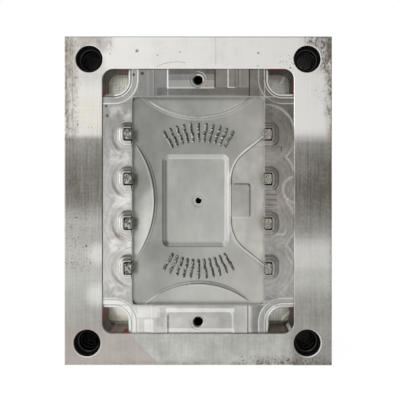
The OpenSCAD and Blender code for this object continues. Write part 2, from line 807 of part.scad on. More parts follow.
module port_former(side, i) {
    shoulder_z = insert_back_z + former_collar_t;
    color([0.62, 0.58, 0.50]) in_part_frame() {
        prism(insert_back_z, shoulder_z) former_outline(side, i, former_collar);
        prism(shoulder_z - eps, former_top_z) former_outline(side, i, 0);
    }
}

module sprue_bush() {
    head_back_z = clamp_back_z + ring_seat;
    color([0.50, 0.50, 0.50]) in_part_frame() difference() {
        union() {
            round_hole(0, 0, sprue_shank_d, head_back_z, panel_z);
            round_hole(0, 0, sprue_head_d, head_back_z, sprue_head_z);
        }
        translate([0, 0, head_back_z - eps])
            cylinder(d1 = sprue_d_back, d2 = sprue_d_front, h = panel_z - head_back_z + 2 * eps);
        translate([0, 0, head_back_z + nozzle_seat - nozzle_r]) sphere(nozzle_r, $fn = 192);
        round_hole(key_pin_x(), 0, key_pin_d + 2 * fit_gap,
                   sprue_head_z - key_pin_depth, sprue_head_z + over);
    }
}

function key_pin_x() = (sprue_shank_d + sprue_head_d) / 4;

module sprue_key_pin() {
    color([0.45, 0.45, 0.45]) in_part_frame()
        round_hole(key_pin_x(), 0, key_pin_d, sprue_head_z - key_pin_depth, back_z - key_pin_room);
}

module locating_ring() {
    front_z = clamp_back_z + ring_seat;
    color([0.35, 0.35, 0.36]) in_part_frame() difference() {
        union() {
            round_hole(0, 0, ring_d, ring_back_z, front_z);
            round_hole(0, 0, ring_flange_d, clamp_back_z, front_z);
        }
        round_hole(0, 0, ring_bore, ring_back_z - over, front_z + over);
        translate([0, 0, ring_back_z - eps])
            cylinder(d1 = ring_bore + ring_proud, d2 = ring_bore, h = ring_proud);
        for (i = [0 : ring_screw_count - 1]) rotate(45 + i * 360 / ring_screw_count) {
            round_hole(ring_screw_pcd / 2, 0, ring_screw_d + screw_room,
                       ring_back_z - over, front_z + over);
            round_hole(ring_screw_pcd / 2, 0, head_d(ring_screw_d) + screw_room,
                       ring_back_z - over, ring_back_z + head_h(ring_screw_d) + screw_room);
        }
    }
}

// Socket screw with its head at the back: head_z is the back of the head
module socket_screw(x, y, d, head_z, tip_z) {
    translate([x, y, head_z]) difference() {
        union() {
            cylinder(d = head_d(d), h = head_h(d));
            cylinder(d = d, h = tip_z - head_z);
        }
        translate([0, 0, -over]) cylinder(d = socket_d(d), h = head_h(d) / 2 + over, $fn = 6);
    }
}

module locating_ring_screws() {
    head_z = ring_back_z + screw_room;
    color([0.15, 0.15, 0.16]) in_part_frame()
        for (i = [0 : ring_screw_count - 1]) rotate(45 + i * 360 / ring_screw_count)
            socket_screw(ring_screw_pcd / 2, 0, ring_screw_d, head_z,
                         clamp_back_z + ring_seat + ring_screw_reach);
}

module clamp_plate_screws() {
    color([0.15, 0.15, 0.16]) in_part_frame() at_corners()
        socket_screw(clamp_screw_x, clamp_screw_y, clamp_screw_d,
                     clamp_back_z + screw_room, back_z + clamp_screw_reach);
}

module insert_screws() {
    color([0.15, 0.15, 0.16]) in_part_frame() at_corners()
        socket_screw(insert_screw_x, insert_screw_y, insert_screw_d,
                     back_z + screw_room, insert_back_z + insert_screw_reach);
}

module water_seal(sx, sy) {
    color([0.08, 0.08, 0.08]) in_part_frame()
        translate([sx * riser_x, sy * channel_y, insert_back_z - seal_groove_depth / 2])
            rotate_extrude() translate([seal_d / 2, 0]) circle(d = seal_t, $fn = 48);
}

module channel_plug(sy) {
    end_x = insert_w / 2;
    color([0.72, 0.58, 0.30]) in_part_frame()
        translate([-end_x, sy * channel_y, channel_z]) rotate([0, 90, 0]) difference() {
            cylinder(d = plug_d, h = plug_l);
            translate([0, 0, -over])
                cylinder(d = plug_d / 2, h = plug_l / 2 + over, $fn = 6);
        }
}

cavity_plate();
clamp_plate();
cavity_insert();
guide_bush(guide_place(-1, 1));  // guide_bush_top_left
guide_bush(guide_place(1, 1));  // guide_bush_top_right
guide_bush(guide_place(-1, -1));  // guide_bush_bottom_left
guide_bush(guide_place(1, -1));  // guide_bush_bottom_right
sprue_bush();
sprue_key_pin();
locating_ring();
locating_ring_screws();
clamp_plate_screws();
insert_screws();
port_former(-1, 1);  // port_former_left_1
port_former(-1, 2);  // port_former_left_2
port_former(-1, 3);  // port_former_left_3
port_former(-1, 4);  // port_former_left_4
port_former(1, 1);  // port_former_right_1
port_former(1, 2);  // port_former_right_2
port_former(1, 3);  // port_former_right_3
port_former(1, 4);  // port_former_right_4
water_seal(-1, 1);  // water_seal_upper_left
water_seal(1, 1);  // water_seal_upper_right
water_seal(-1, -1);  // water_seal_lower_left
water_seal(1, -1);  // water_seal_lower_right
channel_plug(1);  // channel_plug_upper
channel_plug(-1);  // channel_plug_lower
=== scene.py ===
# %% [markdown]
# # Dressing an injection mould
#
# The object is one half of a two-plate injection mould: a ground steel frame with four guide
# holes, and in its pocket a milled insert with a shallow polished cavity. The CAD part already
# has every piece at its real size, so this lesson is about finish: ground, milled, polished,
# eroded and oiled steel, the stains of use, and the light that makes steel readable.
#
# Everything is in metres in the row frame: x to the right, z up, and the parting face looks
# along -y. The sizes below are in millimetres in the mould's own frame, which is easier to
# think in: x to the right, u up from the middle of the plate, w out of the parting face.

# %% Load the frame
import math

import bpy
import numpy as np
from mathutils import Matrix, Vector


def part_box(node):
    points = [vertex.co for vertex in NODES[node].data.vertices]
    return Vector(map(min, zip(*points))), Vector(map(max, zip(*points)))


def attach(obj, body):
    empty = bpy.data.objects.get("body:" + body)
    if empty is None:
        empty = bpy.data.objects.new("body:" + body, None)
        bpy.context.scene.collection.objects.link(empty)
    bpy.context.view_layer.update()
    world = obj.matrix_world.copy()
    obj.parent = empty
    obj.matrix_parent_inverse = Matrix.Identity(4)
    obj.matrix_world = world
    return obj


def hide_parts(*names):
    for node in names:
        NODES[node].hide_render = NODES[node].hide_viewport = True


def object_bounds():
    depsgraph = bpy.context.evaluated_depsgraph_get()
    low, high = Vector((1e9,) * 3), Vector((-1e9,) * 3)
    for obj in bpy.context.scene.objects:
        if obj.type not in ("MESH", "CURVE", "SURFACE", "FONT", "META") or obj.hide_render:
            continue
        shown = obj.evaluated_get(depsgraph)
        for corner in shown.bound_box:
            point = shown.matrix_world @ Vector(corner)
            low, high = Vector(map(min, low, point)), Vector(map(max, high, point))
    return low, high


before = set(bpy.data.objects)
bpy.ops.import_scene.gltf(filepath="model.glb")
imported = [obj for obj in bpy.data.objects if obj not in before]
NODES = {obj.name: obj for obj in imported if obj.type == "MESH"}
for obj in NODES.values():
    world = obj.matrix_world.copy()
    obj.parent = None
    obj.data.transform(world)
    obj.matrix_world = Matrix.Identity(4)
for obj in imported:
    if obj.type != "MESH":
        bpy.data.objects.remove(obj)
CAD_BOX = [list(corner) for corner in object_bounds()]
MM = 0.001
FACE_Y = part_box("cavity_plate")[0].y / MM
MIDDLE_Z = CAD_BOX[1][2] / MM / 2
print("nodes", len(NODES), "parting face at y", round(FACE_Y, 2), "mm")

# %% [markdown]
# ## Shader maths as Python
#
# A steel finish is mostly sums and products of masks: a stain here, a streak there. Wiring
# Math nodes by hand is slow to read, so a small class wraps a socket and turns each Python
# operator into one Math node. Python's own sum works on it too.


# %% Values
class Value:
    """A socket that can stand in a Python expression. Each operator adds a Math node."""

    def __init__(self, maker, socket):
        self.maker, self.socket = maker, socket

    def math(self, operation, *others):
        inputs = dict(enumerate((self, *others)))
        return self.maker.node("ShaderNodeMath", {"operation": operation}, inputs)

    def __add__(self, other):
        return self.math("ADD", other)

    def __sub__(self, other):
        return self.math("SUBTRACT", other)

    def __mul__(self, other):
        return self.math("MULTIPLY", other)

    def __rsub__(self, other):
        return (self * -1) + other

    def __abs__(self):
        return self.math("ABSOLUTE")

    __radd__ = __add__
    __rmul__ = __mul__

    def at_least(self, low):
        return self.math("MAXIMUM", low)

    def clamp(self):
        return self.at_least(0.0).math("MINIMUM", 1.0)

    def ramp(self, low, high, to_low=0.0, to_high=1.0):
        """Rises smoothly from to_low where the value is low to to_high where it is high."""
        return self.maker.node(
            "ShaderNodeMapRange",
            {"interpolation_type": "SMOOTHSTEP"},
            {"Value": self, "From Min": low, "From Max": high, "To Min": to_low, "To Max": to_high},
        )

    def near(self, centre, half, soft):
        """1 within half of centre, falling smoothly to 0 over soft."""
        return abs(self - centre).ramp(half + soft, half)

    def wave(self, rate):
        """A sine of the value, from -0.5 to 0.5."""
        return (self * rate).math("SINE") * 0.5

    def profile(self, *stops):
        """A level that changes along the value: each stop is a place and its level."""
        low, high = stops[0][0], stops[-1][0]
        along = self.maker.node(
            "ShaderNodeMapRange", {}, {"Value": self, "From Min": low, "From Max": high}
        )
        levels = [((place - low) / (high - low), level) for place, level in stops]
        return self.maker.node("ShaderNodeValToRGB", {"stops": levels}, {"Fac": along})


def hypot(a, b):
    """The length of a leg a and a leg b at a right angle."""
    return (a * a + b * b).math("SQRT")


print("a value can", [name for name in vars(Value) if not name.startswith("_")])

# %% [markdown]
# Every other node comes from one method. It takes the type, the settings, which are set first
# because they change the sockets, and the inputs, which may be values or plain numbers.


# %% Node trees
class Tree:
    """The nodes of a material or a world."""

    def __init__(self, owner):
        owner.use_nodes = True
        self.tree = owner.node_tree

    def node(self, kind, settings, inputs, output=0):
        """Adds a node, sets it up, links or sets its inputs and returns one output."""
        made = self.tree.nodes.new(kind)
        for key, value in settings.items():
            if key == "stops":
                self.fill_ramp(made.color_ramp, value)
            else:
                setattr(made, key, value)
        for key, value in inputs.items():
            if isinstance(key, str):
                socket = next(s for s in made.inputs if s.enabled and s.name == key)
            else:
                socket = made.inputs[key]
            if isinstance(value, Value):
                self.tree.links.new(value.socket, socket)
            else:
                socket.default_value = value
        shown = [s for s in made.outputs if s.enabled]
        if isinstance(output, str):
            return Value(self, next(s for s in shown if s.name == output))
        return Value(self, shown[output])

    @staticmethod
    def fill_ramp(ramp, levels):
        """Sets a ramp's two ends, then adds the stops between them."""
        ends = ((ramp.elements[0], levels[0]), (ramp.elements[-1], levels[-1]))
        for element, (_, level) in ends:
            element.color = (level, level, level, 1)
        for place, level in levels[1:-1]:
            ramp.elements.new(place).color = (level, level, level, 1)

    def parts(self, vector):
        """The x, y and z of a vector."""
        split = self.node("ShaderNodeSeparateXYZ", {}, {"Vector": vector}).socket.node
        return [Value(self, socket) for socket in split.outputs]

    def mix(self, factor, a, b, kind="RGBA"):
        """Colour a where factor is 0, and b where it is 1."""
        inputs = {"Factor": factor, "A": a, "B": b}
        return self.node("ShaderNodeMix", {"data_type": kind}, inputs, "Result")

    def layered(self, colour, *layers):
        """Coats over a colour, one after another: each is a mask and what it lays on."""
        for mask, coat in layers:
            colour = self.mix(mask, colour, coat)
        return colour

    def ray(self, kind):
        """1 for rays of one kind, such as those from the camera, and 0 for the others."""
        return self.node("ShaderNodeLightPath", {}, {}, kind)

    def scaled(self, colour, factor):
        """A colour times a number."""
        inputs = {0: colour, "Scale": factor}
        return self.node("ShaderNodeVectorMath", {"operation": "SCALE"}, inputs)


print("a tree can", [name for name in vars(Tree) if not name.startswith("_")])

# %% [markdown]
# A finish is a material that knows where it is. Object coordinates are fixed to the mould, so
# a stain stays put from every side and needs no unwrapping. Scaled to millimetres they are
# the mould's own x, u and w, and masks such as a patch or a spot can be given in real sizes.


# %% Finishes
class Finish(Tree):
    """A material on Object coordinates, with the mould frame's x, u and w in millimetres."""

    def __init__(self, name, roughness, metallic=1.0):
        self.slot = name
        self.material = bpy.data.materials.new(name)
        super().__init__(self.material)
        self.shader = self.tree.nodes["Principled BSDF"]
        self.shader.inputs["Metallic"].default_value = metallic
        self.shader.inputs["Roughness"].default_value = roughness
        self.place = self.node("ShaderNodeTexCoord", {}, {}, "Object")
        x, y, z = self.parts(self.place)
        self.x = x * (1 / MM)
        self.u = z * (1 / MM) - MIDDLE_Z
        self.w = y * (-1 / MM) + FACE_Y

    def noise(self, scale, detail=3, rough=0.55, stretch=(1, 1, 1), shift=0.0):
        """Noise from 0 to 1. Scale is in cells per metre; stretch scales x, y and z."""
        where = {"Vector": self.place, "Scale": stretch, "Location": (shift, shift, shift)}
        mapped = self.node("ShaderNodeMapping", {}, where)
        inputs = {"Vector": mapped, "Scale": scale, "Detail": detail, "Roughness": rough}
        return self.node("ShaderNodeTexNoise", {}, inputs, "Fac")

    def patch(self, x0, x1, u0, u1, soft):
        """1 inside a rectangle of the face, falling to 0 over soft millimetres."""
        across = self.x.near((x0 + x1) / 2, (x1 - x0) / 2, soft)
        return across * self.u.near((u0 + u1) / 2, (u1 - u0) / 2, soft)

    def away(self, x, u):
        """Distance from a point of the face, in millimetres."""
        return hypot(self.x - x, self.u - u)

    def spot(self, x, u, radius, soft):
        """1 within radius of a point of the face, falling to 0 over soft."""
        return self.away(x, u).ramp(radius + soft, radius)

    def patches(self, rows):
        """A sum of patches: each row has a patch's numbers and then its level."""
        return sum(self.patch(*numbers) * level for *numbers, level in rows)

    def spots(self, rows):
        """A sum of spots, in the same way."""
        return sum(self.spot(*numbers) * level for *numbers, level in rows)

    def set(self, socket, value):
        if isinstance(value, Value):
            self.tree.links.new(value.socket, self.shader.inputs[socket])
        else:
            self.shader.inputs[socket].default_value = value

    def rounded(self, edge):
        """The normal with every edge rounded by edge metres."""
        return self.node("ShaderNodeBevel", {"samples": 8}, {"Radius": edge})

    def slopes(self, normal):
        """How far a surface leans left or down, and how far it leans right or up, 0 to 1."""
        across, _, up = self.parts(normal)
        lean = (across + up) * -1
        return lean.ramp(0.14, 0.7), lean.ramp(-0.08, -0.55)

    def surface(self, height, distance, normal):
        """Bumps from height, laid over a normal."""
        inputs = {"Height": height, "Distance": distance, "Strength": 1.0, "Normal": normal}
        self.set("Normal", self.node("ShaderNodeBump", {}, inputs))

    def paint(self, *names):
        for name in names:
            materials = NODES[name].data.materials
            materials.clear()
            materials.append(self.material)

    def dress(self, names, colour, height, relief, edge):
        """Gives these nodes the finish, with its colour, bumps and rounded edges."""
        self.set("Base Color", colour)
        self.surface(height, relief, self.rounded(edge))
        self.paint(*names)


def nodes_like(start):
    """The names of the CAD nodes that start with these words."""
    return [name for name in NODES if name.startswith(start)]


print("a finish adds", [name for name in vars(Finish) if not name.startswith("_")])

# %% [markdown]
# ## The ground frame
#
# A surface grinder leaves fine straight lines, and years in a press leave the rest: a dark
# film, brown stains along the edges, a few dents and rust specks. Over the face lie broad
# bands of painted reflection, the light and dark that ground steel mirrors from a room. A
# photograph laid on the plate could carry all of it, but only from one side and at one size.
# Here the base colour is worked out: the painted reflection is darkest beside the middle of
# the cavity, so each side bar gets a profile of levels along its length, and noise at five
# sizes breaks it up.

# %% Painted reflection bands on the frame
ground = Finish("ground_steel", 0.3)
GROUND_LIGHT, GROUND_COOL = (0.97, 0.945, 0.91, 1), (0.95, 0.955, 0.91, 1)
GROUND_DARK_TONE, GROUND_CREAM = (0.15, 0.14, 0.118, 1), (1, 0.96, 0.82, 1)
# Painted reflection: levels of the light and dark bands along each side bar and between them.
LEFT_REFLECTION_BANDS = (
    (-160, 0.48), (-122, 0.65), (-105, 0.64), (-92, 0.55), (-80, 0.5), (-60, 0.56), (-50, 0.52),
    (-35, 0.58), (-20, 0.56), (-8, 0.73), (0, 0.84), (15, 0.87), (40, 0.86), (54, 0.76),
    (60, 0.7), (65, 0.16), (80, 0.07), (105, 0.06), (120, 0.24), (160, 0.28),
)  # fmt: skip
RIGHT_REFLECTION_BANDS = (
    (-160, 0.75), (-150, 0.75), (-125, 0.69), (-110, 0.73), (-95, 0.67), (-80, 0.48),
    (-60, 0.47), (-46, 0.46), (-38, 0.52), (-30, 0.72), (-20, 0.82), (-8, 0.91), (5, 1),
    (20, 1), (35, 0.97), (48, 0.85), (56, 0.78), (62, 0.43), (66, 0.14), (72, 0.03), (160, 0),
)  # fmt: skip
MIDDLE_REFLECTION_BANDS = ((-160, 0.5), (-128, 0.51), (0, 0.3), (128, 0), (160, 0))
on_face = ground.w.ramp(-1.2, -0.4)
on_left, on_right = ground.x.ramp(-86, -95), ground.x.ramp(86, 95)
between = 1 - on_left - on_right
reflection_and_film = (
    on_left * ground.u.profile(*LEFT_REFLECTION_BANDS)
    + on_right * ground.u.profile(*RIGHT_REFLECTION_BANDS)
    + between * ground.u.profile(*MIDDLE_REFLECTION_BANDS)
)
print("film stops on the side bars:", len(LEFT_REFLECTION_BANDS), len(RIGHT_REFLECTION_BANDS))

# %% Streaks and clouds over the painted reflection bands
streaks = ground.noise(90, 5, stretch=(9, 1, 0.3))
cross = ground.noise(60, 4, stretch=(0.4, 1, 9))
fine_lines = ground.noise(700, 2, stretch=(6, 1, 0.15))
clouds = ground.noise(16, 5, 0.65)
speckle = ground.noise(650, 2, 0.6, stretch=(1.3, 1, 0.8))
mottle = ground.noise(55, 5, 0.65, shift=0.2)
reflection_and_film = reflection_and_film + (streaks - 0.5) * (0.14 + reflection_and_film * 0.2) + (clouds - 0.5) * 0.42
reflection_and_film = reflection_and_film + (speckle - 0.5) * (0.14 + reflection_and_film * 0.1) + (cross - 0.5) * 0.1
reflection_and_film = reflection_and_film + (mottle - 0.5) * between * (0.3 + ground.u.ramp(-110, -130) * 0.2)
pink = (ground.x + ground.u + 196.2).ramp(1.5, -1.5) * ground.u.ramp(-112, -130)
lighter = ground.spots(((-97, -52, 4, 12, 1), (-98, -92, 4, 12, 1), (101, 30, 2, 16, 0.35)))
lighter = lighter + ground.patch(96, 124, -60, -46, 12) * 0.5
reflection_and_film = (reflection_and_film + pink * 0.07 - lighter * (clouds + 0.1) * 0.45).clamp()
cream = clouds.ramp(0.5, 0.68) * on_left * ground.u.ramp(40, 70) * 0.7
light = ground.mix(ground.u.ramp(-20, -80) * on_face, GROUND_LIGHT, GROUND_COOL)
light = ground.mix(cream, light, GROUND_CREAM)
seam = ground.w.ramp(-66, -69.5) * mottle.ramp(0.3, 0.6)
side_film = 0.4 + (clouds - 0.5) * 0.7 + (mottle - 0.5) * 0.5 + (speckle - 0.5) * 0.25
side_film = side_film + (streaks - 0.5) * 0.35 + (cross - 0.5) * 0.25 + seam * 0.35
# The face takes the painted reflection bands, and the plate's sides take only their film.
reflection_and_film_tone = ground.mix(reflection_and_film * on_face + side_film.clamp() * (1 - on_face), light, GROUND_DARK_TONE)
print("nodes", len(ground.tree.nodes))

# %% [markdown]
# Stains gather where hands and clamps touch: along the edges, round the holes and in the
# upper right corner. Small pits and rust specks come from noise, cut off high, so that only
# its peaks show, and only inside the patches where the real plate has them. The dents and one
# long scratch have their own places.

# %% Stains, pits, dents and a scratch
STAIN, YELLOW = (0.105, 0.082, 0.052, 1), (0.4, 0.34, 0.23, 1)
PINK, RUST = (0.5, 0.42, 0.385, 1), (0.08, 0.045, 0.03, 1)
DENTS = (
    (-59.4, 145.7, 1.3), (-17.7, 144.7, 0.5), (58.5, 143.7, 0.8), (-85.6, 142.8, 0.4),
    (-39.5, 141.6, 0.4), (-116.8, 74.3, 0.5), (89.5, 129.3, 0.7), (58.0, 131.2, 0.4),
)  # fmt: skip
PITTED = (
    (-126, -106, -64, -12, 9, 0.9), (-126, -104, 56, 72, 5, 0.7), (-128, -116, 76, 130, 4, 0.7),
    (80, 92, 126, 142, 4, 1), (114, 126, 100, 140, 6, 0.6), (40, 96, -160, -152, 5, 1),
    (96, 122, -158, -150, 5, 1),
)  # fmt: skip
STAINED = (
    (-128, -84, 149, 162, 7, 0.4), (-130, -120, 60, 150, 6, 0.5), (112, 132, 136, 162, 16, 1.2),
    (127, 132, 85, 150, 7, 0.8), (60, 132, -164, -155, 6, 0.6),
)  # fmt: skip
blotch = ground.noise(70, 5, 0.65, stretch=(1.4, 1, 0.8))
clumps = ground.noise(480, 4, 0.7, stretch=(1.3, 1, 0.6))
grit = ground.noise(420, 3, 0.6)
dots = ground.noise(900, 2, 0.5)
stain = ground.x.ramp(-127, -130) * (0.35 + ground.u.ramp(20, 80) * 0.65)
stain = stain + ground.x.ramp(124.5, 131) * (0.5 + ground.u.ramp(-90, 10) * 0.5)
stain = stain + ground.u.ramp(-153, -159) * 0.6 + ground.patches(STAINED)
stain = stain * (blotch.ramp(0.3, 0.65) * 0.55 + clumps.ramp(0.5, 0.58) * 0.6)
yellowed = ground.x.ramp(-116, -124) * ground.u.ramp(56, 80) * streaks.ramp(0.35, 0.6)
yellowed = yellowed + ground.patch(-112, -86, 148, 158, 6) * clouds.ramp(0.4, 0.6)
yellowed = yellowed + ground.patch(127, 132, 56, 162, 5) * blotch.ramp(0.25, 0.6) * 0.8
pits = (grit * 0.55 + dots * 0.45).ramp(0.585, 0.63) * ground.patches(PITTED).clamp()
dents = sum(ground.spot(x, u, radius, 0.6) for x, u, radius in DENTS)
scratch = ground.away(-20.3, 88.4).near(46.6, 0.1, 0.45) * ground.patch(-40, -14, 126, 140, 3)
ruled = ground.x.near(17.1, 0.2, 0.5) * ground.u.ramp(131, 133) * 0.25
marks = (pits + dents * (0.5 + grit * 0.6) + scratch * 0.8 + ruled).clamp() * on_face
worn = ground.layered(
    reflection_and_film_tone,
    ((yellowed * on_face).clamp() * 0.55, YELLOW),
    ((stain * on_face).clamp() * 0.85, STAIN),
    (pink * on_face * 0.5, PINK),
    (marks * 0.85, RUST),
)
print("dents", len(DENTS), "pitted patches", len(PITTED), "stained patches", len(STAINED))

# %% [markdown]
# The pocket walls show in the four corner locks. They are painted near black as the shade of
# the deep pocket, with lighter lines where the cutter scored them, and a red marking ink that
# was brushed on for fitting is still there in patches. One wall carries a painted glint, a
# streak of reflected light.

# %% Pocket walls with marking ink
WALL_SHADE, WALL_LIGHT, WALL_LOW = (0.045, 0.034, 0.028, 1), (0.22, 0.17, 0.14, 1), (0.5, 0.41, 0.35, 1)
INK, GLINT = (0.3, 0.0, 0.012, 1), (1, 0.95, 0.88, 1)
INKED = (
    (-72, 129, 7), (-93, 106, 4), (93, 109, 7), (76, 129, 8), (-93, -111, 6), (-70, -128, 3),
    (93, -105, 4),
)  # fmt: skip
far_x, far_u = abs(ground.x), abs(ground.u)
in_pocket = far_x.ramp(94.2, 93.4) * far_u.ramp(129.9, 129.1)
walls = in_pocket * ground.w.ramp(-0.9, -1.6) * far_x.ramp(64, 67) * far_u.ramp(100, 103)
ink_noise = ground.noise(85, 4, 0.65, shift=0.4)
inked = sum(ground.spot(x, u, radius, 4) for x, u, radius in INKED).clamp()
ink = walls * (ink_noise * 0.35 + inked * 0.65).ramp(0.62, 0.74) * ground.w.ramp(-18, -12)
scored = (ground.w + ink_noise * 9.0).wave(0.85) + 0.5
low_wall = ground.u.ramp(-127.5, -128.5) * ground.w.ramp(-7, -4, 1.0, 0.6)
# Painted shade: near black walls with lighter score lines, and lighter at the bottom walls.
shaded_scored_wall = ground.mix(low_wall * 0.8, ground.mix(scored, WALL_SHADE, WALL_LIGHT), WALL_LOW)
# Painted glint: a streak of reflected light on one corner wall of the lower right lock.
glint = (ground.x + ground.u + 36.0).near(0, 1.5, 1.8) * ground.u.ramp(-120, -122)
glint = glint * ground.x.ramp(84, 86) * ground.w.ramp(-27, -20) * walls
print("ink spots", len(INKED))

# %% [markdown]
# Edges make or break steel. Real bevels on every edge would be thousands of thin faces. A
# Bevel node rounds only the normal there. Where that normal leans to the light the edge is
# painted bright, and where it leans away it is painted dark.
# The mouths of the guide holes have rings with a painted highlight on one side.

# %% Painted edges and rim highlights of the frame
GUIDES = (
    (-106, 138, -1, -1, 0.25), (106, 138, 1, 0.2, 1), (-108, -138, 0.3, -1, 0.9),
    (106, -138, 1, -0.5, 1),
)  # fmt: skip
EDGE_ROUND, FINE_RELIEF = 0.0006, 0.00004
rounded = ground.rounded(EDGE_ROUND)
bright_slope, dark_slope = ground.slopes(rounded)
edge_zone = far_x.ramp(129.4, 128.8) * ground.w.ramp(-1.6, -0.8)
right_edge = ground.x.ramp(91, 93)
# Painted highlight: each guide hole's rim is bright on one side, set by to_x, to_u and level.
rim_highlights = sum(
    ground.away(x, u).near(13.5, 0.4, 0.4)
    * ((ground.x - x) * to_x + (ground.u - u) * to_u).ramp(-8, 12, 0.1, level)
    for x, u, to_x, to_u, level in GUIDES
)
rim_highlights = rim_highlights.clamp() * on_face
frame_colour = ground.layered(
    worn,
    (dark_slope * edge_zone * 0.6, (0.05, 0.047, 0.04, 1)),
    (bright_slope * edge_zone * (0.9 - right_edge * 0.6), (1, 1, 1, 1)),
    (rim_highlights * 0.75, (1, 1, 0.97, 1)),
    (walls, shaded_scored_wall),
    (ink, INK),
    (glint * (0.6 + ink_noise), GLINT),
)
ground.set("Base Color", frame_colour)
ground.set("Metallic", 1 - ink * 0.9 - rim_highlights * 0.4 - glint * 0.7)
ground.set("Roughness", 0.3 + walls * 0.2)
ground.surface(streaks * 0.5 + fine_lines * 0.4 - marks * 4.0, FINE_RELIEF, rounded)
ground.paint("cavity_plate")
print("nodes in the ground steel", len(ground.tree.nodes))

# %% [markdown]
# ## The milled insert
#
# One block carries three finishes. The cavity is blasted to an even satin, a little darker in
# its upper left, and the shut-off strips round it are milled and hand dressed, with painted
# reflection and painted light and shade over their tone. The narrow slopes of the corner locks
# are polished and carry painted highlights. Three materials would need the mesh cut along every
# border. Masks from x, u and w tell the finishes apart in one material, and can fade into each
# other.

# %% Satin of the cavity
insert = Finish("insert_steel", 0.36)
side, rise = abs(insert.x), abs(insert.u)
inside = side.ramp(64.8, 64.2) * rise.ramp(101.9, 101.3) * insert.w.ramp(-1.7, -2.0)
slant = insert.x * (0.56 / 64) - insert.u * (0.44 / 101)
satin = slant.profile((-1, 0.29), (-0.55, 0.32), (0, 0.4), (0.5, 0.48), (1, 0.56))
cloud = insert.noise(28, 4, 0.6)
polish_lines = insert.noise(260, stretch=(5, 1, 0.25))
brushed = insert.noise(60, 4, 0.6, stretch=(1, 1, 0.35), shift=0.3)
satin = satin + (cloud - 0.5) * 0.27 + (polish_lines - 0.5) * 0.08 + (brushed - 0.5) * 0.1
print("nodes", len(insert.tree.nodes))

# %% [markdown]
# Three facets of the cavity end on circles, and the right one on a circle with straight
# sides. The distance into each outline serves three times: for the painted light level of the
# facet, for thin lines of painted highlight and painted shade beside its edge, and for the rub
# along the edge.


# %% Distance into each facet
def inwards(middle_x, middle_u, radius):
    """How far a point is inside a circle, in millimetres."""
    return radius - insert.away(middle_x, middle_u)


NOSE_X, NOSE_HALF, NOSE_R = 31.5, 20.0, 35.0
STRAIGHT_NORMAL = (0.624, 0.781)
into_left, into_top = inwards(-136.9, 0, 93.4), inwards(0, 163.2, 80.7)
into_bottom = inwards(0, -159.1, 77.6)
across, beyond = NOSE_X + NOSE_R - insert.x, rise - NOSE_HALF
radial = hypot(across, beyond.at_least(0.0))
straight = across * STRAIGHT_NORMAL[0] + beyond * STRAIGHT_NORMAL[1]
on_straight = insert.x.ramp(44.2, 45.0)
into_right = NOSE_R - (radial * (1 - on_straight) + straight * on_straight)
on_left_facet, on_top_facet, on_bottom_facet, on_right_facet = (
    into.ramp(-0.3, 0.3) for into in (into_left, into_top, into_bottom, into_right)
)
print("nodes", len(insert.tree.nodes))

# %% Painted edge lines and rubs along the facets
rise_left, rise_top, rise_bottom = rise.ramp(56, 30), side.ramp(46, 30), side.ramp(48, 34)
# Painted shade: dark lines beside the facet edges that lean away from the light.
edge_shade_lines = (
    into_left.near(-0.5, 0.2, 0.4) * 0.6 * rise_left
    + into_left.near(-3.0, 0.1, 0.5) * 0.35 * rise_left
    + into_bottom.near(-0.3, 0.1, 0.4) * 0.5 * rise_bottom
    + into_bottom.near(-2.6, 0.1, 0.4) * 0.4 * rise_bottom
    + into_top.near(0.9, 0.1, 0.5) * insert.x.ramp(-10, 20) * 0.5
    + into_right.near(0.9, 0.2, 0.4) * 0.75
    + into_right.near(-2.6, 0.1, 0.4) * 0.3
).clamp()
# Painted highlights: light lines beside the facet edges that lean to the light.
edge_highlight_lines = (
    into_top.near(-0.7, 0.15, 0.4) * 0.7 * rise_top
    + into_top.near(-3.2, 0.1, 0.5) * 0.2
    + into_right.near(-0.5, 0.2, 0.4) * 0.9
    + into_left.near(-1.8, 0.1, 0.5) * 0.2
    + into_left.near(0.9, 0.1, 0.5) * 0.25
    + into_bottom.near(-0.3, 0.1, 0.4) * insert.x.ramp(-36, -44) * 0.6
).clamp()
RUBBED = (
    (into_left, rise_left), (into_bottom, rise_bottom), (into_top, rise_top), (into_right, 0.8),
)  # fmt: skip
facet_edge = sum(into.near(-0.8, 0.9, 0.4) * share for into, share in RUBBED).clamp()
print("rubbed facets", len(RUBBED))

# %% Painted light, tone and colour of the cavity
# Painted sheen and shade: soft lighter and darker spots on the facets.
SHEEN_AND_SHADE_SPOTS = (
    (-58, -76, 4, 16, 0.035), (-44, -50, 3, 15, -0.05), (-54, -92, 4, 14, 0.025),
    (37, 83, 4, 14, 0.045), (54, 68, 6, 14, 0.05), (20, 64, 4, 16, -0.025),
)  # fmt: skip
on_panel = insert.w.ramp(-8.0, -8.5)
on_pad = insert.patch(33.2, 49.7, -15.7, 15.7, 0.5)
diagonal = insert.x - insert.u
glow = diagonal.ramp(-66, -52) * (insert.x - insert.u * 0.1).ramp(-64, -50)
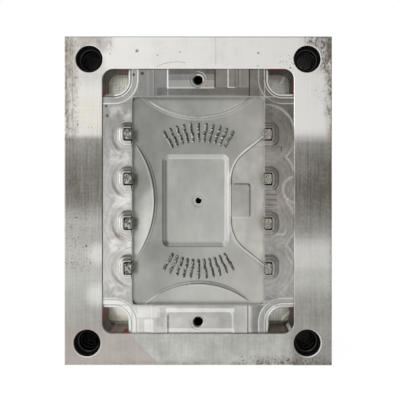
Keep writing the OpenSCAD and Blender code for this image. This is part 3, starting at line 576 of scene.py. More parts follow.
# Painted light: each facet and the panel get their own level as they tilt to the light, the left
# facet a painted sheen on its lower part, and the panel is lighter towards its lower left.
level = (
    1
    + on_left_facet * (0.1 + glow * (0.3 + brushed * 0.55))
    + on_top_facet * (0.2 - insert.x.ramp(10, 40) * 0.05)
    + on_bottom_facet * 0.13
    + on_right_facet * (0.17 + cloud.ramp(0.45, 0.65) * 0.14 - on_pad * 0.16)
    + on_panel * (0.26 - (insert.x + insert.u).ramp(-10, 50) * 0.12)
)
satin = satin * level + insert.spots(SHEEN_AND_SHADE_SPOTS) + (brushed - 0.5) * on_panel * 0.22
pale_steel = insert.mix(insert.x.ramp(10, 50), (1, 1, 0.945, 1), (1, 0.985, 0.905, 1))
cavity_colour = insert.scaled(pale_steel, satin)
yellow = brushed.ramp(0.5, 0.7) * (on_panel * 0.6 + on_right_facet * 0.35)
hairline = insert.u.near(52.8, 0.05, 0.4) * insert.x.near(57.5, 7, 2) * 0.5
cavity_colour = insert.layered(
    cavity_colour,
    (yellow, insert.scaled(cavity_colour, 1.04)),
    (yellow * 0.12, (0.75, 0.66, 0.42, 1)),
    (hairline, (0.1, 0.1, 0.095, 1)),
    (edge_shade_lines, (0.06, 0.06, 0.055, 1)),
    (edge_highlight_lines, (0.95, 0.95, 0.93, 1)),
)
print("smudges", len(SHEEN_AND_SHADE_SPOTS))

# %% [markdown]
# The strips round the cavity shut against the other half. They were milled and then dressed
# by hand, which leaves clouds in their tone. Over it lies painted reflection, lighter on the
# left and lower strips and darker on the right and top ones, and bands of painted light and
# shade along the steps. A profile gives the painted reflection along each strip, noise the
# clouds and a table of patches the bands. That is quicker to adjust than a painted picture,
# and it has no resolution.

# %% Painted reflection on the strips
# Painted reflection: the level along each side strip, and along the lower strip.
LEFT_STRIP_REFLECTION = (
    (-105, 0.5), (-91, 0.52), (-72, 0.68), (-52, 0.58), (-33, 0.63), (-14, 0.56), (6, 0.6),
    (25, 0.56), (45, 0.45), (64, 0.48), (75, 0.42), (84, 0.38), (105, 0.36),
)  # fmt: skip
RIGHT_STRIP_REFLECTION = (
    (-105, 0.37), (-88, 0.38), (-72, 0.42), (-52, 0.36), (-33, 0.37), (-14, 0.35), (6, 0.31),
    (25, 0.3), (45, 0.31), (64, 0.24), (84, 0.17), (105, 0.16),
)  # fmt: skip
LOWER_STRIP_REFLECTION = (
    (-60, 0.7), (-30, 0.63), (0, 0.53), (30, 0.49), (44, 0.53), (50, 0.63), (53, 0.31), (60, 0.26),
)  # fmt: skip
# Bands of painted light and shade along the steps of the end strips: a rectangle, its softness and
# its change of level.
LIGHT_AND_SHADE_BANDS = (
    (-29, 15.5, 123.5, 130, 0.5, -0.11), (-29, 15.5, 110.8, 117.2, 0.6, 0.12),
    (-40, 49, 103.4, 110.4, 0.5, -0.09), (-58, -44, 103, 128, 0.8, 0.02),
    (49.5, 59, 103, 128, 0.6, -0.06), (-31, 35, -108.4, -104.6, 0.4, 0.3),
    (-31, 35, -128.4, -124.5, 0.5, 0.22), (-59, -38, -113, -104, 1.0, 0.14),
    (-52, -44, -128, -116, 1.0, 0.2), (-40, -33, -122, -109, 1.0, -0.1),
)  # fmt: skip
left, upper = insert.x.ramp(8, -8), insert.u.ramp(-8, 8)
right, lower = 1 - left, 1 - upper
on_sides = side.ramp(63.5, 65)
side_reflection = left * insert.u.profile(*LEFT_STRIP_REFLECTION) + right * insert.u.profile(*RIGHT_STRIP_REFLECTION)
end_reflection = upper * 0.29 + lower * insert.x.profile(*LOWER_STRIP_REFLECTION)
patchy = insert.noise(75, 4, 0.6)
strip_reflection_and_tone = on_sides * side_reflection + (1 - on_sides) * end_reflection
strip_reflection_and_tone = strip_reflection_and_tone * (0.62 + patchy * 0.76) + insert.patches(LIGHT_AND_SHADE_BANDS)
print("bands", len(LIGHT_AND_SHADE_BANDS))

# %% [markdown]
# A ball cutter walked round each port, and its path is still there as rings. The ports stand
# 43 mm apart, so the fraction of u over 43 folds all four onto one, and one distance serves
# them all.

# %% Cutter rings round the ports
PORT_PITCH, CAVITY_EDGE = 43.0, 64.5
folded = ((insert.u * (1 / PORT_PITCH)).math("FRACT") - 0.5) * PORT_PITCH
out_x = side - CAVITY_EDGE
port_distance = hypot(out_x, folded)
wander = insert.noise(55, 3, 0.6)
rings = (port_distance + wander * 11.0).wave(1.3)
ring_zone = on_sides * rise.ramp(97, 92)
strip_reflection_and_tone = strip_reflection_and_tone * (1 + rings * ring_zone * 0.12)
# Painted light: lighter patches between the ports, strongest on the left strip.
between_ports = abs(folded).ramp(13, 18) * side.near(76, 8, 4) * patchy.ramp(0.4, 0.6)
strip_reflection_and_tone = strip_reflection_and_tone + between_ports * on_sides * (left * 0.22 + right * 0.05)
wave_arc = insert.away(95.5, 11).near(12.8, 0.7, 1.2) * insert.x.ramp(80, 82) * 0.16
wave_arc = wave_arc + insert.away(101, -47).near(16, 0.5, 1.2) * insert.x.ramp(84, 86) * 0.08
hook = insert.patch(76, 84, -33.2, -32.0, 0.7) + insert.patch(84.3, 85.4, -32, -28, 0.7)
strip_reflection_and_tone = strip_reflection_and_tone + (wave_arc + hook * wander * 0.4) * on_sides
tint = insert.mix(right * insert.u.ramp(-90, 10), (1, 0.99, 0.95, 1), (1, 0.94, 0.84, 1))
print("nodes", len(insert.tree.nodes))

# %% Painted highlights round the D-shaped steps
D_LENGTH, D_HALF, D_ROUND = 5.5, 3.5, 8.5
d_across = (out_x - D_LENGTH).at_least(0.0)
d_along = (abs(folded) - D_HALF).at_least(0.0)
d_edge = hypot(d_across, d_along) - D_ROUND
# Painted highlights: light lines round each D step, laid on with the bright slopes.
d_edge_highlights = d_edge.near(-0.5, 0.25, 0.5) + d_edge.near(-3.3, 0.15, 0.4) * 0.8
d_edge_highlights = d_edge_highlights * (out_x - folded * 0.35).ramp(5, 11) * ring_zone
print("nodes", len(insert.tree.nodes))

# %% [markdown]
# Each corner has a lock, a deep pocket for a block of the other half, with a chamfered lip, a
# ledge and a sunk border. All of them follow one rounded outline, so one distance from it
# places every line. The lip is polished, and the floor is scored by the cutter. Each lock gets
# its own painted level of light, and its lines are painted highlights and shade: bright bands
# and rings, dark grooves.

# %% Ledge and lip of the corner locks
LOCK_X, LOCK_U, LOCK_ROUND = 82.5, 118.5, 14.0
short_x, short_u = (LOCK_X - side).at_least(0.0), (LOCK_U - rise).at_least(0.0)
lock_distance = hypot(short_x, short_u) - LOCK_ROUND
lock_zone = lock_distance.ramp(10.6, 10.0)
# Painted light: a level for each lock, lighter on the left and below, with bright bands and rings
# and darker grooves.
lock_light = left * (upper * 0.42 + lower * 0.62) + right * (upper * 0.22 + lower * 0.42)
chamfer = lock_distance.near(1.6, 1.6, 0.15)
lip_line = lock_distance.near(1.0, 0.8, 0.3) * upper + lock_distance.near(1.4, 1.1, 0.4) * lower
broad = lock_distance.near(5.2, 1.9, 0.6) * left * lower
rim = lock_distance.near(9.6, 0.45, 0.4)
groove = lock_distance.near(3.4, 0.35, 0.4) * 0.16 + lock_distance.near(5.6, 0.2, 0.3) * 0.08
lip_top = lock_distance.near(3.8, 0.45, 0.4) * (1 - left * upper * side.ramp(78, 84) * 0.8)
lock_level = lock_light * (0.72 + patchy * 0.56) + broad * 0.4 + rim * 0.3
lock_level = lock_level + lip_top * 0.5 - groove
strip_reflection_and_tone = strip_reflection_and_tone * (1 - lock_zone) + lock_level * lock_zone
print("nodes", len(insert.tree.nodes))

# %% Floors of the corner locks
deep = insert.w.ramp(-5.5, -6.5) * (1 - inside) * lock_zone
level_lines = (insert.u + wander * 4.0) * left * lower + lock_distance * (1 - left * lower)
floor_lines = (level_lines + wander * 3.0).wave(2.3)
lock_floor = insert.noise(120, stretch=(4, 1, 0.5))
# Painted light: a level for each corner's floor, darker higher up and lighter towards the deepest
# floor.
floor_light = left * (upper * 0.84 + lower * 1.3) + right * (upper * 0.5 + lower * 0.57)
floor_level = floor_light * (0.6 + lock_floor * 0.8 + floor_lines * 0.18)
floor_level = floor_level * insert.w.ramp(-12, -27, 0.45, 1.0)
# Painted reflection: the floors of the lower locks darken along their bottom edge, where they
# mirror the dark wall.
floor_level = floor_level * (1 - lower * rise.ramp(123.5, 125) * 0.62)
# Painted glints on the floors of the right locks.
floor_glint = (diagonal - 208.0).near(0, 0.7, 1.8) * side.ramp(83, 86) * right * lower
slanted = (insert.x * 0.85 - insert.u * 0.53 - 8.0).near(0, 0.5, 1.5)
floor_glint = floor_glint + slanted * upper * right * rise.ramp(117, 121) * 0.6
floor_level = floor_level + floor_glint * 0.5
strip_reflection_and_tone = strip_reflection_and_tone * (1 - deep) + floor_level * deep
tint = insert.mix(deep, tint, (0.98, 1, 0.88, 1))
strip_colour = insert.scaled(tint, strip_reflection_and_tone.at_least(0.02).math("MINIMUM", 1.0))
print("nodes", len(insert.tree.nodes))

# %% [markdown]
# The vent ribs were eroded and left rough, with bright specks, and are painted nearly black:
# the grey of eroded steel with painted shade over it. The holes are painted black inside, as
# their shade. A rust spot and a few dark ones sit on the strips, and a painted shadow lies
# beside each former.

# %% Ribs
from_middle = insert.away(0, 0)
fans = from_middle.near(67.3, 11.2, 0.4) * (side - from_middle * 0.53).ramp(0, -1)
fans = fans * insert.w.ramp(-6.1, -5.8) * insert.w.ramp(-2.9, -3.3)
specks = insert.noise(750, 3, 0.7)
# Painted shade: the ribs are near black, the grey of eroded steel darkened as their shade, with
# bright specks.
rib_finish_and_shade = insert.mix(specks.ramp(0.52, 0.6), (0.035, 0.034, 0.03, 1), (0.55, 0.54, 0.49, 1))
softer = insert.x.ramp(0, 24) * (0.3 + upper * 0.7)
rib_finish_and_shade = insert.mix(softer * 0.7, rib_finish_and_shade, (0.1, 0.1, 0.09, 1))
print("nodes", len(insert.tree.nodes))

# %% Holes, spots, rust and painted shadows
HOLE_U = 117.98
SPOTS = (
    (-63.3, 123.3, 1.1, 0.8, 0.8), (-54.6, 124.3, 1.3, 0.8, 0.8), (64.9, 119.9, 1.0, 0.8, 0.9),
    (-89.5, 92.5, 0.9, 0.8, 0.7), (-88.5, 83.0, 1.2, 0.8, 0.7),
)  # fmt: skip
SCRIBED = ((66, 80, 52.3, 52.9, 0.5, 0.3), (80.7, 81.4, 49, 53, 0.5, 0.6))
# Painted shade: the tapped holes are black inside.
holes = sum(insert.spot(0, u, 4.3, 0.2) for u in (HOLE_U, -HOLE_U))
holes = (holes * insert.w.ramp(-2.2, -3.2)).clamp()
dark_spots = insert.spots(SPOTS) + insert.patches(SCRIBED) * (0.5 + specks)
rust = insert.patch(-80, -74, -34.5, -31.5, 2) * specks.ramp(0.4, 0.6)
# Painted shadow of each former on the cavity floor, stronger on the left.
former_shadow = (out_x + 3.0).near(0, 0.6, 3.2) * abs(folded + 1.0).ramp(8, 4) * inside
spotted = insert.layered(
    strip_colour,
    (inside, cavity_colour),
    (fans * (0.9 - softer * 0.2), rib_finish_and_shade),
    (dark_spots.clamp(), (0.04, 0.035, 0.03, 1)),
    (rust * 0.8, (0.42, 0.22, 0.11, 1)),
    (former_shadow * (left * 0.55 + 0.1), (0.12, 0.12, 0.11, 1)),
)
print("dark spots", len(SPOTS), "scribed marks", len(SCRIBED))

# %% [markdown]
# Every step of the insert has a slope that leans to the light or away from it, and it is
# painted bright or dark by that. The bevelled normal finds them all, but too evenly: walls,
# the panel and the right strip are calmer on the real block, so each has a mask that holds the
# painted slopes back there, and the walls and the right ports' slopes are painted a more even
# grey.

# %% Slopes and walls
insert_round = insert.rounded(EDGE_ROUND)
bright_slope, dark_slope = insert.slopes(insert_round)
wall_side = side.ramp(63.9, 64.3) * side.ramp(65.3, 65.1)
wall_end = rise.ramp(100.9, 101.3) * rise.ramp(102.3, 102.0)
at_wall = (wall_side + wall_end).clamp() * insert.w.ramp(-6.9, -6.6) * insert.w.ramp(-0.8, -1.1)
panel_wall = insert.w.ramp(-6.75, -7.0) * insert.w.ramp(-8.9, -8.7) * inside
panel_corner = (side - 2.75).ramp(24, 30) * rise.ramp(38, 43)
far_relief = on_sides * left * port_distance.ramp(16.0, 18.0)
edge_calm = 1 - facet_edge * inside * 0.65
port_slope = (bright_slope + dark_slope) * right * on_sides
bright_slope = bright_slope * (1 - at_wall * 0.8) * (0.85 - right * on_sides * 0.6) * edge_calm
dark_slope = dark_slope * (1 - lock_zone) * (1 - holes) * (1 - at_wall) * (1 - far_relief * 0.7)
dark_slope = dark_slope * (1 - panel_wall * (1 - panel_corner) * 0.45)
dark_slope = dark_slope * (0.75 - right * on_sides * 0.5) * edge_calm
print("nodes", len(insert.tree.nodes))

# %% Painted highlights on the lock lips, and shine
on_lip = chamfer * lock_zone * (1 - deep)
# Painted highlight: the polished lip is painted white, held back on part of the upper left lock.
lip_highlight = on_lip * lip_line * (1 - left * upper * side.ramp(79, 84) * 0.75)
painted_ring_highlights = (broad * 0.5 + rim * 0.3) * lock_zone * (1 - deep)
painted_ring_highlights = painted_ring_highlights + d_edge_highlights * (left * 0.8 + right * (0.12 + lower * 0.2))
bright_slope = (bright_slope * (1 - on_lip) + painted_ring_highlights * (left + lower * 0.3 + 0.3).clamp()).clamp()
# Painted light and shade: even grey walls, bright and dark slopes, the chamfers dark as they mirror
# the pocket wall, and the lip's white highlight.
insert_colour = insert.layered(
    spotted,
    (at_wall * 0.7, (0.6, 0.6, 0.57, 1)),
    (panel_wall * 0.25, (0.62, 0.62, 0.59, 1)),
    (port_slope * 0.5, (0.42, 0.4, 0.36, 1)),
    (bright_slope, (0.98, 0.98, 0.96, 1)),
    (dark_slope, (0.05, 0.05, 0.045, 1)),
    (on_lip * 0.9, (0.24, 0.23, 0.21, 1)),
    (lip_highlight, (1, 1, 0.99, 1)),
    (holes, (0.008, 0.008, 0.008, 1)),
)
soft_shine = (bright_slope + at_wall + port_slope) * 0.5 + panel_wall * 0.3 + on_lip * 0.55
soft_shine = soft_shine - lip_highlight * 0.35 + (facet_edge * 0.35 + edge_highlight_lines * 0.4) * inside
insert.set("Base Color", insert_colour)
insert.set("Metallic", (1 - soft_shine).at_least(0.0))
print("nodes", len(insert.tree.nodes))

# %% [markdown]
# A polished lip shows as a white line in the photo, but a slope there mirrors the dark pocket
# wall beside it. Turning its normal to the front, only where it is polished, lets it mirror
# the bright room instead. The bumps of the dressing and the rings lie over that normal.

# %% Relief of the insert
FRONT = (0, -1, 0)
dressing = insert.noise(110, 3, 0.5, shift=0.7)
bumps = polish_lines * 0.2 + specks * fans * 5.0 + rings * ring_zone * 1.5
bumps = bumps + dressing * (1 - inside) * 8.0
flattened = insert.mix(lip_highlight, insert_round, FRONT, "VECTOR")
insert.surface(bumps, FINE_RELIEF, flattened)
insert.paint("cavity_insert")
print("nodes in the insert steel", len(insert.tree.nodes))

# %% [markdown]
# ## Bushes, formers and the hidden pieces
#
# The guide bushes lie in shadow and are wet with oil, so they are painted almost black,
# painted shade over oiled steel, with a thin grey ring at each mouth. Real oil is a clear coat;
# at this size it only darkens the steel.

# %% Bushes
bush = Finish("bush_steel", 0.22)
oil = bush.noise(120)
drips = bush.noise(90, 3, 0.5, stretch=(2, 0.3, 2), shift=0.2)
smears = drips.ramp(0.52, 0.68) * bush.w.ramp(-9, -12)
mouths = sum(bush.away(x, u).near(9.7, 0.4, 0.5) for x, u, *_ in GUIDES).clamp()
# Painted shade: the bushes are near black in their holes.
black = bush.mix(oil, (0.003, 0.003, 0.003, 1), (0.009, 0.009, 0.009, 1))
bush_colour = bush.mix((smears * 0.8 + mouths).clamp(), black, (0.04, 0.04, 0.04, 1))
bush.dress(nodes_like("guide_bush"), bush_colour, oil, FINE_RELIEF, 0.0005)
print("bushes", nodes_like("guide_bush"))

# %% [markdown]
# Spark erosion melts tiny craters into a former's surface. Two noises make it: the coarse one
# chooses dark or pale, the fine one scatters specks. The right row stands in its own shade,
# so it fades to one tone there.

# %% Formers
former = Finish("former_steel", 0.6)
spark = former.noise(900, 4, 0.7)
craters = former.noise(420, 3, 0.6)
eroded = former.mix(craters.ramp(0.42, 0.58), (0.07, 0.065, 0.05, 1), (0.5, 0.485, 0.44, 1))
eroded = former.layered(
    eroded,
    (former.x.ramp(-10, 10) * 0.75, (0.36, 0.33, 0.28, 1)),
    (spark.ramp(0.52, 0.62) * 0.8, (0.85, 0.84, 0.78, 1)),
)
former.dress(nodes_like("port_former"), eroded, spark, 0.0003, 0.0004)
print("formers", nodes_like("port_former"))

# %% [markdown]
# The sprue bush was turned on a lathe, which leaves fine rings: a sine of the distance from
# its axis. Its bore is a hole that no light comes back from.

# %% Sprue bush
sprue = Finish("sprue_steel", 0.25)
turned = (sprue.away(0, 0) * 6.0).math("SINE")
bore = sprue.spot(0, 0, 3.05, 0.2) * sprue.w.ramp(-9.0, -9.2)
sprue_colour = sprue.mix(bore, (0.5, 0.5, 0.47, 1), (0.004, 0.004, 0.004, 1))
sprue.set("Roughness", bore.ramp(0, 1, 0.36, 0.9))
sprue.dress(["sprue_bush"], sprue_colour, turned, 0.00001, 0.0003)
print("nodes in the sprue steel", len(sprue.tree.nodes))

# %% [markdown]
# The clamp plate is the back of the mould. It is ground like the frame and dirtier at its
# edges, and a stained circle lies round the locating ring. No photo shows this side, so the
# finish stays plain: three noises and two masks.

# %% Clamp plate
clamp = Finish("clamp_steel", 0.36)
clamp_clouds = clamp.noise(22, 5, 0.65)
clamp_lines = clamp.noise(120, 4, stretch=(8, 1, 0.3))
clamp_dots = clamp.noise(700, 2, 0.6)
ring_mark = clamp.away(0, 0).near(58, 1.2, 2.5) * clamp_clouds.ramp(0.35, 0.6)
edge_film = (abs(clamp.x).ramp(108, 130) + abs(clamp.u).ramp(135, 160)).clamp()
wear = clamp_clouds.ramp(0.3, 0.7) * 0.55 + (clamp_lines - 0.5) * 0.5 + (clamp_dots - 0.5) * 0.3
wear = wear + edge_film * clamp_dots.ramp(0.35, 0.65) * 0.35 + ring_mark * 0.4
clamp_colour = clamp.mix(wear.clamp(), (0.6, 0.58, 0.54, 1), (0.2, 0.18, 0.15, 1))
clamp.dress(["clamp_plate"], clamp_colour, clamp_lines, FINE_RELIEF, EDGE_ROUND)
print("nodes in the clamp steel", len(clamp.tree.nodes))

# %% [markdown]
# The small pieces need one finish each: two colours mixed by noise, and a rounded edge. A
# table and a loop make them, so another piece is one more row.

# %% Other pieces
PLAIN = (
    ("pin_steel", (0.5, 0.5, 0.5, 1), (0.38, 0.38, 0.38, 1), 0.3, ["sprue_key_pin"]),
    ("ring_steel", (0.34, 0.34, 0.35, 1), (0.2, 0.2, 0.21, 1), 0.33, ["locating_ring"]),
    ("screw_black", (0.05, 0.05, 0.055, 1), (0.025, 0.025, 0.028, 1), 0.4,
     ["locating_ring_screws", "clamp_plate_screws", "insert_screws"]),
    ("plug_brass", (0.66, 0.48, 0.2, 1), (0.5, 0.34, 0.14, 1), 0.35, nodes_like("channel_plug")),
)  # fmt: skip
for name, pale_tone, dark_tone, roughness, members in PLAIN:
    plain = Finish(name, roughness)
    grain = plain.noise(150, 4, 0.6)
    plain.dress(members, plain.mix(grain, pale_tone, dark_tone), grain, FINE_RELIEF, 0.0004)
rubber = Finish("seal_rubber", 0.55, 0.0)
grain = rubber.noise(600)
rubber_colour = rubber.mix(grain, (0.02, 0.02, 0.02, 1), (0.045, 0.045, 0.045, 1))
rubber.dress(nodes_like("water_seal"), rubber_colour, grain, 0.00005, 0.0002)
print("plain finishes", len(PLAIN) + 1)

# %% [markdown]
# ## Surfaces worked out with numpy
#
# The CAD insert has the true steps, but its strips are mirror flat. The real ones were walked
# over by a ball cutter and dressed by hand, so they swell and dip by a few tenths of a
# millimetre, and every step has a soft foot and a rubbed edge. A thin skin over each strip
# gives them that: the CAD height as a formula of x and u, softened, with the swell on top.
# Each skin is a closed slab with its back sunk in the insert.


# %% Noise
LATTICE = 97


def smoothstep(t):
    """3t squared less 2t cubed, which leaves 0 and reaches 1 without a kink."""
    return t * t * (3 - 2 * t)


def lattice_noise(seed, x, u, cell):
    """Value noise, -1 to 1: random heights on a lattice of cells, joined by smoothstep."""
    heights = np.random.default_rng(seed).uniform(-1, 1, (LATTICE, LATTICE))
    p, q = np.asarray(x) / cell + 1000.3, np.asarray(u) / cell + 1000.7
    i, j = np.floor(p).astype(int), np.floor(q).astype(int)
    s, t = smoothstep(p - i), smoothstep(q - j)

    def corner(a, b):
        return heights[(i + a) % LATTICE, (j + b) % LATTICE]

    low = corner(0, 0) * (1 - s) + corner(1, 0) * s
    high = corner(0, 1) * (1 - s) + corner(1, 1) * s
    return low * (1 - t) + high * t


def rough_noise(seed, x, u, cell, octaves):
    """Noise at a cell size plus half as much at half the size, and so on."""
    layers = [lattice_noise(seed + k, x, u, cell / 2**k) / 2**k for k in range(octaves)]
    return sum(layers) / (2 - 2 ** (1 - octaves))


print("noise at three points", np.round(rough_noise(1, [0, 4, 8], 0, 9, 3), 3))


# %% Soft steps and outlines
def soft_step(value, width):
    """0 below zero, 1 above width, and a smoothstep between."""
    return smoothstep(np.clip(value / width, 0, 1))


def soft_box(x, u, x0, x1, u0, u1, width):
    """1 inside a rectangle, falling softly to 0 over width outside it."""
    across = soft_step(x - x0 + width, width) * soft_step(x1 + width - x, width)
    return across * soft_step(u - u0 + width, width) * soft_step(u1 + width - u, width)


def rounded_box_distance(x, u, half_x, half_u, radius):
    """Distance to a rounded rectangle, negative inside: the distance of the corner part of
    (|x|, |u|) beyond the inner box, less the radius."""
    p, q = np.abs(x) - (half_x - radius), np.abs(u) - (half_u - radius)
    outside = np.hypot(np.maximum(p, 0), np.maximum(q, 0))
    return outside + np.minimum(np.maximum(p, q), 0) - radius


print("a point 1 mm outside a box:", rounded_box_distance(6.0, 0.0, 5.0, 5.0, 1.0))

# %% [markdown]
# A mesh from Python is a list of points and a list of faces. Smooth shading hides the facets,
# but edges sharper than 65 degrees keep their crease. Each piece rides on the root, as the
# CAD part does, and takes its finish's material.


# %% Pieces from points and faces
def to_world(x, u, w):
    """Mould frame in millimetres to the row frame in metres, as an n by 3 array."""
    columns = [np.ravel(x), FACE_Y - np.ravel(w), np.ravel(u) + MIDDLE_Z]
    return np.stack(columns, 1) * MM


def in_scene(name, data):
    """A new object with this data, in the scene."""
    made = bpy.data.objects.new(name, data)
    bpy.context.scene.collection.objects.link(made)
    return made


def add_piece(name, points, faces, finish):
    mesh = bpy.data.meshes.new(name)
    mesh.from_pydata(points.tolist(), [], [list(f) for f in faces])
    mesh.polygons.foreach_set("use_smooth", np.ones(len(mesh.polygons), bool))
    mesh.set_sharp_from_angle(angle=math.radians(65))
    mesh.materials.append(finish.material)
    piece = in_scene(name, mesh)
    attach(piece, "root")
    print(name, len(mesh.polygons), "faces")
    return piece


print("the sprue's middle is at", to_world(0, 0, 0)[0].round(4))

# %% [markdown]
# A displaced plane is open at its edge, and its back shows in a mirror. A slab is closed: a
# top sheet from the height field, a flat one below, and a wall where a cell has no neighbour.


# %% Closed slabs from height fields
def slab(name, x_range, u_range, step, height, foot, finish, opening):
    """A closed slab between w = height(x, u) and a flat back at w = foot. A cell with a corner
    where opening(x, u) is below zero is left out, and walls run along every open side."""
    xs = np.arange(x_range[0], x_range[1] + step / 2, step)
    us = np.arange(u_range[0], u_range[1] + step / 2, step)
    x, u = np.meshgrid(xs, us)
    kept_point = opening(x, u) > 0
    kept = kept_point[:-1, :-1] & kept_point[1:, :-1] & kept_point[:-1, 1:] & kept_point[1:, 1:]
    index = np.arange(x.size).reshape(x.shape)
    a, b, c, d = index[:-1, :-1], index[:-1, 1:], index[1:, 1:], index[1:, :-1]
    top = np.stack([a, b, c, d], -1)[kept]
    padded = np.pad(kept, 1)
    sides = [
        (kept & ~padded[:-2, 1:-1], a, b),
        (kept & ~padded[2:, 1:-1], c, d),
        (kept & ~padded[1:-1, :-2], d, a),
        (kept & ~padded[1:-1, 2:], b, c),
    ]
    back = x.size
    walls = [
        np.stack([q[open_], p[open_], p[open_] + back, q[open_] + back], -1)
        for open_, p, q in sides
    ]
    faces = np.concatenate([top, top[:, ::-1] + back] + walls)
    used, faces = np.unique(faces, return_inverse=True)
    points = np.concatenate([to_world(x, u, height(x, u)), to_world(x, u, np.full(x.shape, foot))])
    return add_piece(name, points[used], faces.reshape(-1, 4), finish)


print(slab.__doc__.split(".")[0])

# %% [markdown]
# ## Skins of the side strips
#
# Beside each port the strip is sunk in a round relief, and the port's two D-shaped steps rise
# from it. One profile over the distance from the D's outline gives both steps: it is the CAD
# profile, pushed out by a third of a millimetre and blurred, which rounds its corners.

# %% Height of a side strip
STRIP_W, RELIEF_W = -1.5, -2.5
PORTS_U = np.array([64.5, 21.5, -21.5, -64.5])
D_HALF_X, D_HALF_U, D_RADIUS = 14.0, 12.0, 8.5
FORMER_X, FORMER_HALF_X, FORMER_HALF_U = 67.25, 4.25, 6.0
PROFILE_STEP, BLUR, BLUR_REACH = 0.05, 0.3, 24
along = np.arange(-6, 20, PROFILE_STEP)
sharp = np.interp(along, [0, 2.2, 3.0, 5.2], [RELIEF_W, 1.5, 1.5, 4.5])
kernel = np.exp(-0.5 * (np.arange(-BLUR_REACH, BLUR_REACH + 1) * PROFILE_STEP / BLUR) ** 2)
blurred = np.convolve(np.pad(sharp, BLUR_REACH, mode="edge"), kernel / kernel.sum(), mode="valid")
print("the steps rise from", blurred[0].round(2), "to", blurred[-1].round(2), "mm")


def from_port_middle(u):
    """How far u is from the nearest port's middle."""
    return u - PORTS_U[np.argmin(np.abs(np.subtract.outer(PORTS_U, u)), axis=0)]


def former_slot(x, u):
    """Distance to the nearest former's slot, negative inside it."""
    return rounded_box_distance(
        np.abs(x) - FORMER_X, from_port_middle(u), FORMER_HALF_X, FORMER_HALF_U, 1.0
    )


def side_height(side, relief_radius, seed):
    """Strip, round reliefs and D steps, each the highest of what the CAD has there."""

    def height(x, u):
        from_edge, from_port = np.abs(x) - 64.5, from_port_middle(u)
        swell = 0.24 * rough_noise(seed, x, u, 9, 3) + 0.3
        reach = np.hypot(from_edge, from_port)
        wander = 2.2 * rough_noise(seed + 5, x, u, 13, 2)
        cutter = 0.035 * np.sin((reach + wander) * 2.4)
        strip = STRIP_W - soft_step(relief_radius + 0.2 - reach, 3.6)
        if side > 0:
            ribs = np.abs(u / 5.0 - np.round(u / 5.0)) * 5.0
            rib_top = soft_box(x, u, 63, 75.5, -11, 11, 0.6) * soft_step(1.6 - ribs, 0.8)
            strip = strip + 1.05 * rib_top
        outline = rounded_box_distance(from_edge, from_port, D_HALF_X, D_HALF_U, D_RADIUS)
        step = np.interp(0.35 - outline, along, blurred) + 0.12
        rub = 0.07 * rough_noise(seed + 9, x, u, 2.4, 2)
        return np.maximum(strip + swell + cutter, step + rub)

    return height


# %% [markdown]
# ## Skins of the end strips
#
# Above and below the cavity the strips are stepped: a pad and a slim bar at the top, a sloping
# pocket at the bottom. The same softened steps serve, as sums of soft boxes.

# %% Height of the end strips
END_U = 128.48


def top_height(x, u):
    """Lowered ends, the half step, the pad and the bar."""
    low = -2.3 + 0.4 * soft_step(x + 44.2, 1.2) + 0.4 * soft_step(x + 30.2, 1.2)
    low = low + 0.3 * soft_box(x, u, -48.8, -43, 90, 140, 0.8)
    low = low - 0.8 * soft_step(x - 49.2, 1.2) + 0.12
    pad = 0.85 * soft_box(x, u, -29, 15.5, END_U - 17.5, 140, 1.7)
    bar = 0.35 * soft_box(x, u, 29.5, 38.5, END_U - 17.5, 140, 0.9)
    bar = bar + 0.35 * soft_box(x, u, 29.5, 35.5, END_U - 17.5, 140, 0.9)
    edge = 0.25 * soft_box(x, u, 41.2, 49.5, END_U - 17.0, 140, 0.8)
    swell = 0.1 * rough_noise(31, x, u, 7, 3) + 0.12
    return low + pad + bar + edge + swell + 0.02 * np.sin(x * 3.1 + rough_noise(33, x, u, 7, 2))


def bottom_height(x, u):
    """Lowered ends and the pocket with its sloping walls, whose run is 3 mm."""
    low = -2.3 + 0.8 * soft_step(x + 46.2, 1.2) - 0.8 * soft_step(x - 47.7, 1.2)
    outline = rounded_box_distance(x - 2.0, u + END_U, 33.0, 24.0, 8.0)
    pocket = 1.0 * soft_step(-outline - 0.1, 2.9)
    swell = 0.1 * rough_noise(41, x, u, 8, 3) + 0.22
    return low - pocket + swell + 0.02 * np.sin(x * 2.6 + rough_noise(43, x, u, 7, 2))


print("the pad lies at", top_height(0.0, 120.0).round(2), "mm")


# %% Bare rings round the tapped holes
BARE_RADIUS = 6.2


def from_hole(u_hole):
    """Distance from a tapped hole's middle, less the radius that is left bare round it."""
    return lambda x, u: np.hypot(x, u - u_hole) - BARE_RADIUS


def round_hole(height, u_hole):
    """The skin dips under the CAD surface round a tapped hole, so that its mouth is free."""

    def dipped(x, u):
        return height(x, u) - 0.7 * soft_step(8.2 - np.hypot(x, u - u_hole), 1.6)

    return dipped


print("the skins stop", BARE_RADIUS, "mm from the middle of a tapped hole")

# %% [markdown]
# The steps are about a millimetre high and their rubbed edges narrower than that, so a grid
# of less than half a millimetre draws them and is still quick to make.

# %% Make the skins
STEP = 0.45
BACK_W = -3.6
SKINS = (
    ("strip_left", (-92.9, -64.7), (-95.1, 95.1), side_height(-1, 21.0, 3), former_slot),
    ("strip_right", (64.7, 92.9), (-95.1, 95.1), side_height(1, 31.5, 7), former_slot),
    ("strip_top", (-59.2, 59.2), (101.7, 128.4), round_hole(top_height, HOLE_U), from_hole(HOLE_U)),
    ("strip_bottom", (-59.2, 59.2), (-128.4, -101.7), round_hole(bottom_height, -HOLE_U),
     from_hole(-HOLE_U)),
)  # fmt: skip
for name, x_range, u_range, height, opening in SKINS:
    slab(name, x_range, u_range, STEP, height, BACK_W, insert, opening)

